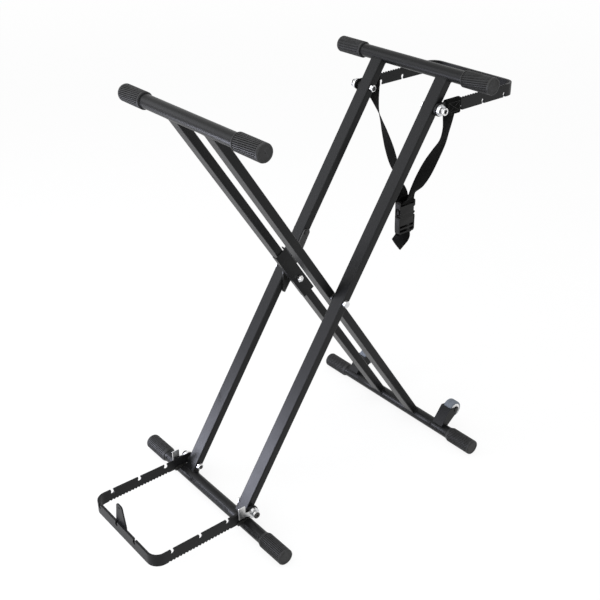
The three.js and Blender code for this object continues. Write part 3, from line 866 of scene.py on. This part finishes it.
def main_pivot(side, sign):
    """Hexagon bolt through both legs, with a locking nut on its inner end."""
    node = f"pivot_bolt_{side}"
    tip, top = reach(node, sign)
    under = top - HEAD
    bolt = hexagon(f"{node}_head", fold, sign * (under + FLANGE_RIM), sign * top)
    flange = turned("flange", outward([
        (6.6, under), (6.9, under + 0.3), (6.9, under + FLANGE_RIM), (6.4, under + 1.3), (5, under + 2),
    ], sign), fold)
    shank = [(BOLT - 1, tip)] + threaded(tip + 0.8, 11) + [(BOLT, under + 1)]
    combine(bolt, "UNION", flange, turned("shank", outward(shank, sign), fold, 32))
    bolt.name = f"{node}_steel"
    fit(smooth(bolt, 30), "outer_frame", "zinc", node)
    locking_nut(f"pivot_nut_{side}", fold, sign)


def pivot_washer():
    """Thick washer between the right legs."""
    node = "pivot_washer_right"
    low, high = span(node)
    washer = turned(f"{node}_steel", [
        (PIN_ROOM, low.y), (8.6, low.y), (9, low.y + 0.4), (9, high.y - 0.4), (8.6, high.y),
        (PIN_ROOM, high.y),
    ], fold, hollow=True)
    fit(smooth(washer, 30), "outer_frame", "black_steel", node)


def latch_pin():
    """Rivet with a domed head that the latch lever hangs on."""
    low, high = span("latch_pin")
    pin = turned("latch_pin_steel", [
        (5.2, low.y), (6, low.y + 0.4), (6, low.y + 1.2), (3, low.y + 1.2), (3, high.y - 3),
        (6, high.y - 3), (6, high.y - 2.3), (5.4, high.y - 1.1), (4, high.y - 0.3), (2, high.y),
    ], latch, 40)
    fit(smooth(pin, 40), "outer_frame", "black_steel", "latch_pin")


for side, sign in SIDES:
    main_pivot(side, sign)
pivot_washer()
latch_pin()


# ------------------------------------------------------------------ arm pivots and spring locks

# Places along an arm's pivot, measured from the stand's middle plane.
ARM_BOLT_TIP = 65.6
COLLAR_FROM, COLLAR_TO = 104.8, 109.2
SPRING_FROM = 121.7
FLANGE_FACE = 127.6
STUB_END = 129.6


def arm_bolt(bar, side, sign):
    """Black shouldered bolt: threaded inner end, collar between leg and arm, and a stub that ends in
    a flange, black on the toe bar and of zinc on the handle bar, round a hexagon socket."""
    node = f"{bar}_bolt_{side}"
    at = pivot(f"{bar}_fold")
    profile = [(BOLT - 0.9, ARM_BOLT_TIP)] + threaded(ARM_BOLT_TIP + 0.7, 9) + [
        (BOLT, COLLAR_FROM), (6.4, COLLAR_FROM), (7, COLLAR_FROM + 0.6), (7, COLLAR_TO - 0.6),
        (6.4, COLLAR_TO), (BOLT, COLLAR_TO), (BOLT, FLANGE_FACE),
    ]
    if bar == "toe":
        profile += [
            (6.3, FLANGE_FACE), (6.8, FLANGE_FACE + 0.4), (6.8, STUB_END - 0.7), (6.1, STUB_END),
            (3.6, STUB_END),
        ]
    else:
        profile += [(BOLT, STUB_END - 0.4), (3.6, STUB_END)]
        ring = turned(f"{bar}_end_ring_{side}", outward([
            (BOLT, FLANGE_FACE), (6.9, FLANGE_FACE), (7.3, FLANGE_FACE + 0.4), (7.3, STUB_END - 0.8),
            (6.5, STUB_END), (4.6, STUB_END), (BOLT, STUB_END - 0.6),
        ], sign), at, 40, hollow=True)
        fit(smooth(ring, 30), "outer_frame", "zinc")
    bolt = turned(f"{node}_steel", outward(profile, sign), at, 40)
    socket = primitive(
        "cylinder", "socket", vertices=6, radius=2.6, depth=4,
        location=(at.x, sign * STUB_END, at.z), rotation=ALONG_Y,
    )
    combine(bolt, "DIFFERENCE", socket)
    fit(smooth(bolt, 30), "outer_frame", "black_steel", node)


LOCK = 11
RIM = LOCK - 0.8
RIM_SEGMENTS = 72
FLUTE_EVERY = 3  # segments of the rim


def lock_ring(side, sign):
    """Zinc ring of the handle bar's lock: a flanged cup with a fluted rim."""
    node = f"handle_lock_{side}"
    at = pivot("handle_fold")
    inner, outer = reach(node, sign)
    ring = turned(f"{node}_steel", outward([
        (PIN_ROOM, inner), (LOCK - 0.4, inner), (LOCK, inner + 0.4), (LOCK, inner + 1.6),
        (RIM, inner + 2), (RIM, outer - 1), (LOCK - 1.5, outer), (8.4, outer), (8.0, outer - 0.6),
        (PIN_ROOM + 1, outer - 0.6), (PIN_ROOM, outer - 1),
    ], sign), at, RIM_SEGMENTS, hollow=True)

    def flute(point, normal):
        angle = math.atan2(point.z - at.z, point.x - at.x) % (2 * math.pi)
        segment = int(angle / (2 * math.pi) * RIM_SEGMENTS)
        on_rim = inner + 2 < abs(point.y) < outer - 1 and math.hypot(point.x - at.x, point.z - at.z) > 9
        return on_rim and abs(normal.y) < 0.3 and segment % FLUTE_EVERY == 0

    with Editing(ring) as edit:
        edit.faces(flute)
        bpy.ops.mesh.inset(thickness=0.12 * MM, depth=-0.5 * MM, use_individual=True)
    fit(smooth(ring, 30), node, "zinc", node)


WIRE = 0.6
COIL = 5.6
SPRING_LENGTH = 5
SPRING_TURNS = 3.5


def lock_spring(bar, side, sign):
    """Compression spring between a lock and the flange of its stub, built at one length. On the stand it
    shortens as the lock is pulled."""
    node = f"{bar}_spring_{side}"
    at = pivot(f"{bar}_fold")
    wire = primitive(
        "circle", f"{node}_wire", vertices=10, radius=WIRE, fill_type="NOTHING", location=(COIL, 0, 0),
    )
    with Editing(wire) as edit:
        edit.everything()
        bpy.ops.transform.rotate(value=math.pi / 2, orient_axis="X", center_override=(COIL * MM, 0, 0))
    modify(
        wire, "SCREW", angle=2 * math.pi * SPRING_TURNS, screw_offset=SPRING_LENGTH * MM, steps=96,
        render_steps=96, axis="Z", use_merge_vertices=False,
    )
    with Editing(wire) as edit:
        edit.everything()
        bpy.ops.mesh.fill_holes(sides=0)
        edit.tidy()
    wire.rotation_euler.x = -sign * math.pi / 2
    wire.location = Vector((at.x, sign * SPRING_FROM, at.z)) * MM
    freeze(wire)
    with Editing(wire) as edit:
        edit.tidy()
    fit(smooth(wire, 50), "outer_frame", "zinc", node)
    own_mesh(wire)


for bar in ("toe", "handle"):
    for side, sign in SIDES:
        arm_bolt(bar, side, sign)
        locking_nut(f"{bar}_nut_{side}", pivot(f"{bar}_fold"), sign)
        lock_spring(bar, side, sign)
for side, sign in SIDES:
    lock_ring(side, sign)


# ------------------------------------------------------------------ transport wheels

TREAD = 18.5
HUB = 9
SPOKES = 6
BRACKET_LEAN = math.atan2(35, 26.5)  # slope of the bracket's back


def wheel(side):
    """A rubber tyre on a spoked plastic hub, and the axle through it."""
    body = f"wheel_{side}"
    at = pivot(f"{body}_spin")

    def both_ways(half):
        """A profile drawn from one face of the wheel to its middle, taken on to the other face."""
        return [(radius, at.y + y) for radius, y in half + outward(half[::-1], -1)]

    tyre = turned(f"{body}_tyre", both_ways([
        (HUB + TOUCH, -11), (15.6, -11), (16.6, -10.7), (17.6, -9.8), (18.25, -8.2), (TREAD, -6),
        (TREAD, -1.3), (18.1, -0.9),
    ]), at, 72, hollow=True)
    fit(smooth(tyre, 40), body, "wheel_rubber", f"wheel_tread_{side}")

    hub = turned(f"{body}_hub", both_ways([
        (3.2, -10.2), (4.9, -10.2), (5.2, -9.8), (5.4, -4), (7.3, -4), (7.5, -10.8), (8, -11.4),
        (13.6, -11.4), (14, -11.05), (HUB, -11.03),
    ]), at, 48, hollow=True)
    spokes = []
    for index in range(SPOKES):
        spoke = block("spoke", (4.8, -9, -0.6), (7.8, 9, 0.6))
        soften(spoke, 0.2, 1)
        spoke.rotation_euler.y = index * 2 * math.pi / SPOKES
        spoke.location = at * MM
        freeze(spoke)
        spokes.append(spoke)
    combine(hub, "UNION", *spokes)
    fit(smooth(hub, 35), body, "wheel_plastic", f"wheel_hub_{side}")

    axle = turned(f"{body}_axle", both_ways([
        (3.4, -16.3), (4.6, -15.9), (5.4, -15.1), (5.5, -14.3), (3, -14.3),
    ]), at, 32)
    fit(smooth(axle, 40), body, "black_steel")


def bracket_rivet(side):
    """Domed rivet through the back of a wheel's bracket into the foot rail."""
    bracket = f"wheel_bracket_{side}"
    low, _ = span(bracket)
    dome = [(3.6, 0), (3.5, 0.7), (2.9, 1.4), (1.6, 1.9), (0.6, 2)]
    rivet = turned(f"{bracket}_rivet", dome, Vector(), 28)
    rivet.rotation_euler = (0, 0, math.pi / 2)
    freeze(rivet)
    rivet.rotation_euler = (0, math.pi / 2 - BRACKET_LEAN, 0)
    rivet.location = Vector((low.x + 7.2, pivot(f"wheel_{side}_spin").y, low.z + 9.6)) * MM
    freeze(rivet)
    fit(smooth(rivet, 40), "inner_frame", "zinc")


for side, _ in SIDES:
    wheel(side)
    bracket_rivet(side)


# ------------------------------------------------------------------ webbing

WEB = 38
WEB_THICK = 1.4
WEB_COLUMNS = 8
strap = pivot("strap_hang")


def eased(points, share):
    """A point on a smooth line through points, share from 0 to 1 along their list."""
    count = len(points) - 1
    where = min(share * count, count - 1e-6)
    index, t = int(where), where - int(where)
    p0, p1 = points[max(index - 1, 0)], points[index]
    p2, p3 = points[index + 1], points[min(index + 2, count)]
    return [
        0.5 * (2 * b + (c - a) * t + (2 * a - 5 * b + 4 * c - d) * t * t + (3 * b - a - 3 * c + d) * t ** 3)
        for a, b, c, d in zip(p0, p1, p2, p3)
    ]


def ribbon(name, node, line, steps, curl=0.5, width=WEB):
    """Webbing laid along a line of (y, z, twist in degrees). Its width lies along X where the twist
    is 0, and its edges curl up. The UV map is in metres along and across."""
    piece = primitive(
        "grid", name, x_subdivisions=steps, y_subdivisions=WEB_COLUMNS, size=1 / MM, calc_uvs=True,
    )
    samples = [eased(line, index / steps) for index in range(steps + 1)]
    walked = [0.0]
    for one, two in zip(samples, samples[1:]):
        walked.append(walked[-1] + math.hypot(two[0] - one[0], two[1] - one[1]))
    rows = []
    for index, (y, z, twist) in enumerate(samples):
        before, after = samples[max(index - 1, 0)], samples[min(index + 1, steps)]
        forward = Vector((0, after[0] - before[0], after[1] - before[1])).normalized()
        turn = math.radians(twist)
        across = Vector((math.cos(turn), 0, 0)) + forward.cross(Vector((1, 0, 0))) * math.sin(turn)
        rows.append((Vector((strap.x, y, z)), across, across.cross(forward)))
    uv = piece.data.uv_layers.active.data
    for loop in piece.data.loops:
        point = piece.data.vertices[loop.vertex_index].co
        row = round((point.x + 0.5) * steps)
        uv[loop.index].uv = (walked[row] * MM, (point.y + 0.5) * width * MM)
    for vertex in piece.data.vertices:
        centre, across, face = rows[round((vertex.co.x + 0.5) * steps)]
        share = vertex.co.y * 2
        vertex.co = (centre + across * (share * width / 2) + face * (curl * share * share)) * MM
    modify(piece, "SOLIDIFY", thickness=WEB_THICK * MM, offset=0)
    modify(piece, "SUBSURF", levels=1, render_levels=1)
    with Editing(piece) as edit:
        edit.everything()
        bpy.ops.mesh.normals_make_consistent(inside=False)
    activate(piece)
    bpy.ops.object.shade_smooth()
    fit(piece, "strap", "webbing", node)


RIGHT_LINE = [
    (-105.9, 762, 0), (-105.9, 742, -6), (-104.2, 720, -15), (-98, 696, -16), (-86, 671, -2),
    (-67, 636, 11), (-48, 598, 14), (-31, 566, 2), (-18, 546, -18), (-10.8, 534, -8),
    (-9.0, 527.5, 0), (-5.5, 524.0, 0), (-0.6, 524.2, 0), (2.6, 527.8, 0), (2.8, 533.5, 0),
    (-1.5, 539.5, -4), (-6, 544, -8),
]
LEFT_LINE = [
    (105.9, 762, 0), (105.7, 743, -4), (98.5, 724, -26), (88, 701, -46), (77, 680, -57),
    (66.5, 659, -68), (52, 630, -78), (38, 602, -76), (26, 580, -56), (16, 560, -28), (11, 544, -8),
    (9.8, 531, 0), (9.2, 515, 0), (9.0, 492, 0), (8.6, 470, 0), (7.4, 459, 0), (3.6, 453.8, 0),
    (-1.5, 453.2, 0), (-4.2, 456.2, 0),
]
TAIL_LINE = [
    (-1.6, 460, 0), (-1.4, 455.0, 8), (1.6, 448, 38), (7.0, 440.0, 72), (12.8, 431.5, 84),
    (18.2, 423.8, 87), (22.6, 417.6, 88),
]
ribbon("strap_right_webbing", "strap_strand_right", RIGHT_LINE, 120)
ribbon("strap_left_webbing", "strap_strand_left", LEFT_LINE, 128)
ribbon("strap_tail_webbing", "strap_tail", TAIL_LINE, 30, curl=1.2, width=32)

LOOP_THICK = 3.2  # two layers, sewn together
LOOP_INSET = 1.4  # from the outside of the CAD loop to the inside of the webbing
STITCH = 2.5
STITCH_PITCH = 3.1
SEAM_HALF_X, SEAM_HALF_Z = 15, 9.5


def strap_loop(side):
    """Webbing sewn into a loop round one arm of the handle bar."""
    node = f"strap_loop_{side}"
    low, high = span(node)
    piece = block(
        f"{node}_webbing", (low.x, low.y + LOOP_INSET, low.z + LOOP_INSET),
        (high.x, high.y - LOOP_INSET, high.z - LOOP_INSET),
    )
    with Editing(piece) as edit:
        edit.faces(lambda _, normal: abs(normal.x) > 0.9)
        bpy.ops.mesh.delete(type="ONLY_FACE")
        edit.edges(lambda _, direction: abs(direction.x) > 0.9)
        bpy.ops.mesh.bevel(offset=1.9 * MM, segments=4)
        edit.everything()
        bpy.ops.mesh.subdivide(number_cuts=1)
        edit.everything()
        bpy.ops.uv.cube_project(cube_size=1.0, correct_aspect=False)
    modify(piece, "SOLIDIFY", thickness=LOOP_THICK * MM, offset=1)
    soften(piece, 0.8, 3)
    fit(piece, "handle_bar", "webbing", node)


def stitch():
    """One raised length of thread, narrower at both ends."""
    piece = primitive(
        "cylinder", "stitch", vertices=8, radius=0.42, depth=STITCH,
        location=(0, 0, 0), rotation=(0, math.pi / 2, 0),
    )
    with Editing(piece) as edit:
        edit.everything()
        bpy.ops.mesh.bisect(plane_co=(0, 0, 0), plane_no=(1, 0, 0))
        edit.faces(lambda _, normal: abs(normal.x) > 0.9)
        bpy.ops.transform.resize(value=(1, 0.45, 0.45), center_override=(0, 0, 0))
    return piece


def row_of(one, start, end, y):
    """Copies of a stitch in a row from start to end, (x, z) pairs, on a face at y."""
    start, run = Vector(start), Vector(end) - Vector(start)
    count = int(run.length / STITCH_PITCH)
    turn = Matrix.Rotation(-math.atan2(run.y, run.x), 4, "Y")
    places = [start + run * ((index + 0.5) / count) for index in range(count)]
    return [
        copy_of(one, "stitch", Matrix.Translation(Vector((at.x, y, at.y)) * MM) @ turn) for at in places
    ]


def loop_seam(side, sign):
    """A sewn box with its diagonals, on the outer face of a loop."""
    node = f"strap_loop_{side}"
    face = sign * (reach(node, sign)[1] - LOOP_INSET + LOOP_THICK)
    left, right = strap.x - SEAM_HALF_X, strap.x + SEAM_HALF_X
    low, high = strap.z - SEAM_HALF_Z, strap.z + SEAM_HALF_Z
    one = stitch()
    made = []
    for start, end in (
        ((left, low), (left, high)), ((right, low), (right, high)), ((left, low), (right, high)),
        ((left, high), (right, low)), ((left, low), (right, low)), ((left, high), (right, high)),
    ):
        made += row_of(one, start, end, face)
    bpy.data.objects.remove(one)
    seam = gather(f"{node}_stitches", made)
    fit(smooth(seam, 60), "handle_bar", "webbing", finish=thread)


for side, sign in SIDES:
    strap_loop(side)
    loop_seam(side, sign)


# ------------------------------------------------------------------ buckle

socket_low, socket_high = span("buckle_socket")
plug_low, plug_high = span("buckle_plug")
mid_x = (socket_low.x + socket_high.x) / 2
mid_y = (socket_low.y + socket_high.y) / 2

SOCKET_SHORT = 9  # the moulding ends below the top of its node, where the strands meet
BUCKLE_CORNER = 5
SLOT_INSET = 3.2  # from the buckle's side to the end of a slot for the webbing
SOCKET_SLOT = (9.6, 3.4)  # down from the socket's top, to the start and the end of its slot
PLUG_SLOTS = ((3.6, 9.4), (13.4, 18.6))  # up from the plug's foot
MOUTH_INSET, MOUTH_HALF, MOUTH_DEPTH = 5, 3.1, 25
HALVES_GAP = 0.3
PRONG_FROM_MIDDLE = 16
PRONG_BEND, PRONG_TIP = 5, 17  # heights over the plug between which a prong's head stands out


def window(name, low, high, corner, segments=3):
    """A cutter with rounded corners through Y."""
    tool = block(name, low, high)
    with Editing(tool) as edit:
        edit.edges(lambda _, direction: abs(direction.y) > 0.9)
        bpy.ops.mesh.bevel(offset=corner * MM, segments=segments)
    return tool


def web_slot(low, high, start, end):
    """A cutter for a slot between two heights, right through a half of the buckle."""
    return window(
        "web_slot", (low.x + SLOT_INSET, low.y - 2, start), (high.x - SLOT_INSET, high.y + 2, end), 1.2,
    )


def buckle_shell(name, low, high):
    """A rounded block with a crowned front and back."""
    piece = block(name, low, high)
    with Editing(piece) as edit:
        edit.edges(lambda _, direction: abs(direction.y) > 0.9)
        bpy.ops.mesh.bevel(offset=BUCKLE_CORNER * MM, segments=6)
        edit.faces(lambda _, normal: abs(normal.y) > 0.9)
        bpy.ops.mesh.inset(thickness=2.6 * MM, use_individual=True)
        bpy.ops.mesh.inset(thickness=0.5 * MM, depth=-0.5 * MM, use_individual=True)
        bpy.ops.mesh.inset(thickness=1.2 * MM, depth=0.25 * MM, use_individual=True)
    return piece


def buckle_socket():
    """The half with side windows, a mouth for the prongs and a bar for the webbing."""
    low, high = socket_low, socket_high - Vector((0, 0, SOCKET_SHORT))
    body = buckle_shell("buckle_socket_moulding", low, high)
    mouth = (
        (low.x + MOUTH_INSET, mid_y - MOUTH_HALF, low.z - 2),
        (high.x - MOUTH_INSET, mid_y + MOUTH_HALF, low.z + MOUTH_DEPTH),
    )
    tools = [web_slot(low, high, *(high.z - down for down in SOCKET_SLOT)), window("mouth", *mouth, 0.4, 1)]
    for edge in (-1, 1):
        x = mid_x + edge * 23
        side = (x - 6.5, mid_y - 3.6, low.z + 3), (x + 6.5, mid_y + 3.6, low.z + 20)
        thumb = (x - 3.2, low.y - 2, low.z + 5), (x + 3.2, high.y + 2, low.z + 18)
        tools += [window("side", *side, 0.5, 1), window("thumb", *thumb, 3, 5)]
    # The bar is thinner than the shell, so that the webbing lies flush round it.
    for y_low, y_high in ((low.y - 1, low.y + 2.4), (high.y - 3.4, high.y + 1)):
        relief = (low.x + SLOT_INSET, y_low, high.z - 3.6), (high.x - SLOT_INSET, y_high, high.z + 1)
        tools.append(window("relief", *relief, 0.3, 1))
    combine(body, "DIFFERENCE", *tools)
    soften(body, 0.45, 2, 40)
    fit(body, "strap", "buckle_plastic", "buckle_socket")


def prong(x, edge, root):
    """A springy side prong of the plug, with a head that stands out to its side."""
    piece = block("prong", (x - 2.2, mid_y - 2.6, root - 2), (x + 2.2, mid_y + 2.6, root + 21))
    with Editing(piece) as edit:
        for height in (PRONG_BEND, PRONG_TIP):
            edit.everything()
            bpy.ops.mesh.bisect(plane_co=(0, 0, (root + height) * MM), plane_no=(0, 0, 1))
        edit.faces(lambda at, normal: (
            normal.x * edge > 0.9 and root + PRONG_BEND < at.z < root + PRONG_TIP
        ))
        bpy.ops.mesh.extrude_region_move(TRANSFORM_OT_translate={"value": (edge * 4.2 * MM, 0, 0)})
        bpy.ops.transform.resize(value=(1, 1, 0.72), center_override=Vector((x, mid_y, root + 9.5)) * MM)
    return piece


def plug_guide(root):
    """The plug's middle guide, narrower at its end."""
    top = root + 18
    piece = block("guide", (mid_x - 3, mid_y - 2.4, root - 2), (mid_x + 3, mid_y + 2.4, top))
    with Editing(piece) as edit:
        edit.faces(lambda _, normal: normal.z > 0.9)
        bpy.ops.transform.resize(value=(0.5, 0.6, 1), center_override=Vector((mid_x, mid_y, top)) * MM)
    return piece


def buckle_plug():
    """The half with two springy side prongs and a middle guide."""
    low, high = Vector(plug_low), Vector((plug_high.x, plug_high.y, socket_low.z - HALVES_GAP))
    body = buckle_shell("buckle_plug_moulding", low, high)
    combine(body, "DIFFERENCE", *(web_slot(low, high, low.z + one, low.z + two) for one, two in PLUG_SLOTS))
    prongs = [prong(mid_x + edge * PRONG_FROM_MIDDLE, edge, high.z) for edge in (-1, 1)]
    combine(body, "UNION", *prongs, plug_guide(high.z))
    soften(body, 0.4, 2, 40)
    fit(body, "strap", "buckle_plastic", "buckle_plug")


buckle_socket()
buckle_plug()


# ------------------------------------------------------------------ studio

# The camera that took the photograph, as fitted to it.
CAMERA_AT = (-1089.87, -1323.25, 1339.92)
AZIMUTH, ELEVATION, ROLL = (math.radians(angle) for angle in (-39.13, 29.04, -0.58))
LENS = 58.14

FLOOR_SIZE = 30000
SHADE_FROM, SHADE_TO = 1.6, 6.5  # metres from the middle, where the floor's shading fades out
SHADE = 0.13  # share of the floor's own shading that shows near the stand
AMBIENT = 0.75  # strength of the world's light on the stand; seen directly, its white is 1


def add_camera():
    """Looks as the photograph does. Its azimuth is 0 along +Y, and its roll is last."""
    away = Vector((math.sin(AZIMUTH), -math.cos(AZIMUTH), 0))
    back = away * math.cos(ELEVATION) + Vector((0, 0, math.sin(ELEVATION)))
    level = Vector((math.cos(AZIMUTH), math.sin(AZIMUTH), 0))
    upright = back.cross(level)
    right = level * math.cos(ROLL) + upright * math.sin(ROLL)
    up = upright * math.cos(ROLL) - level * math.sin(ROLL)
    data = bpy.data.cameras.new("camera")
    data.lens = LENS
    data.clip_start, data.clip_end = 0.05, 60
    camera = add_object("camera", data)
    turn = Matrix((right, up, back)).transposed().to_4x4()
    camera.matrix_world = Matrix.Translation(Vector(CAMERA_AT) * MM) @ turn
    bpy.context.scene.camera = camera


def soft_box(name, at, aim, size, power, colour=(1, 1, 1)):
    """A square light at a place, in metres, that faces another."""
    data = bpy.data.lights.new(name, "AREA")
    data.shape = "SQUARE"
    data.size = size
    data.energy = power
    data.color = colour
    lamp = add_object(name, data)
    lamp.location = at
    lamp.rotation_mode = "QUATERNION"
    lamp.rotation_quaternion = (Vector(at) - Vector(aim)).to_track_quat("Z", "Y")


def seen_rays(finish):
    """1 for rays that show the background: straight, mirrored or through glass."""
    straight = finish.node("LightPath", output="Is Camera Ray")
    return straight + straight.beside("Is Glossy Ray") + straight.beside("Is Transmission Ray")


def add_studio():
    """White surroundings, a white floor that keeps the stand's shadow, and four soft lights."""
    world = bpy.data.worlds.new("studio")
    bpy.context.scene.world = world
    finish = Finish(world)
    strength = seen_rays(finish) * (1 - AMBIENT) + AMBIENT
    background = finish.node("Background", inputs={"Color": (1, 1, 1, 1), "Strength": strength})
    finish.node("OutputWorld", inputs={"Surface": background})

    floor = primitive("plane", "floor", size=FLOOR_SIZE)
    finish = new_finish("pale_floor")
    paper = finish.noise(6, 2.0)
    matt = finish.node("BsdfDiffuse", inputs={"Color": finish.mix(paper, grey(0.93), grey(0.96))})
    white = finish.node("Emission", inputs={"Color": (1, 1, 1, 1), "Strength": 1.0})
    distance = finish.node("VectorMath", {"operation": "LENGTH"}, {0: finish.place()}, "Value")
    plain = distance.within(SHADE_FROM, SHADE_TO) * SHADE + (1 - SHADE)
    shown = finish.node("MixShader", inputs={0: seen_rays(finish) * plain, 1: matt, 2: white})
    finish.node("OutputMaterial", inputs={"Surface": shown})
    floor.data.materials.append(finish.owner)

    soft_box("overhead", (-0.5, -0.2, 2.4), aim=(0, 0, 0.4), size=1.7, power=22)
    soft_box(
        "side_panel", (-1.65, 1.75, 1.6), aim=(0, 0, 0.45), size=1.5, power=16, colour=(0.93, 0.94, 1.0),
    )
    soft_box(
        "low_panel", (-1.06, 0.7, 0.22), aim=(-0.2, 0, 0.1), size=0.42, power=15, colour=(0.82, 0.84, 1.0),
    )
    soft_box("front_panel", (-1.55, -1.8, 1.0), aim=(0, 0, 0.4), size=0.8, power=11)


add_camera()
add_studio()
bpy.context.scene.view_settings.view_transform = "Standard"
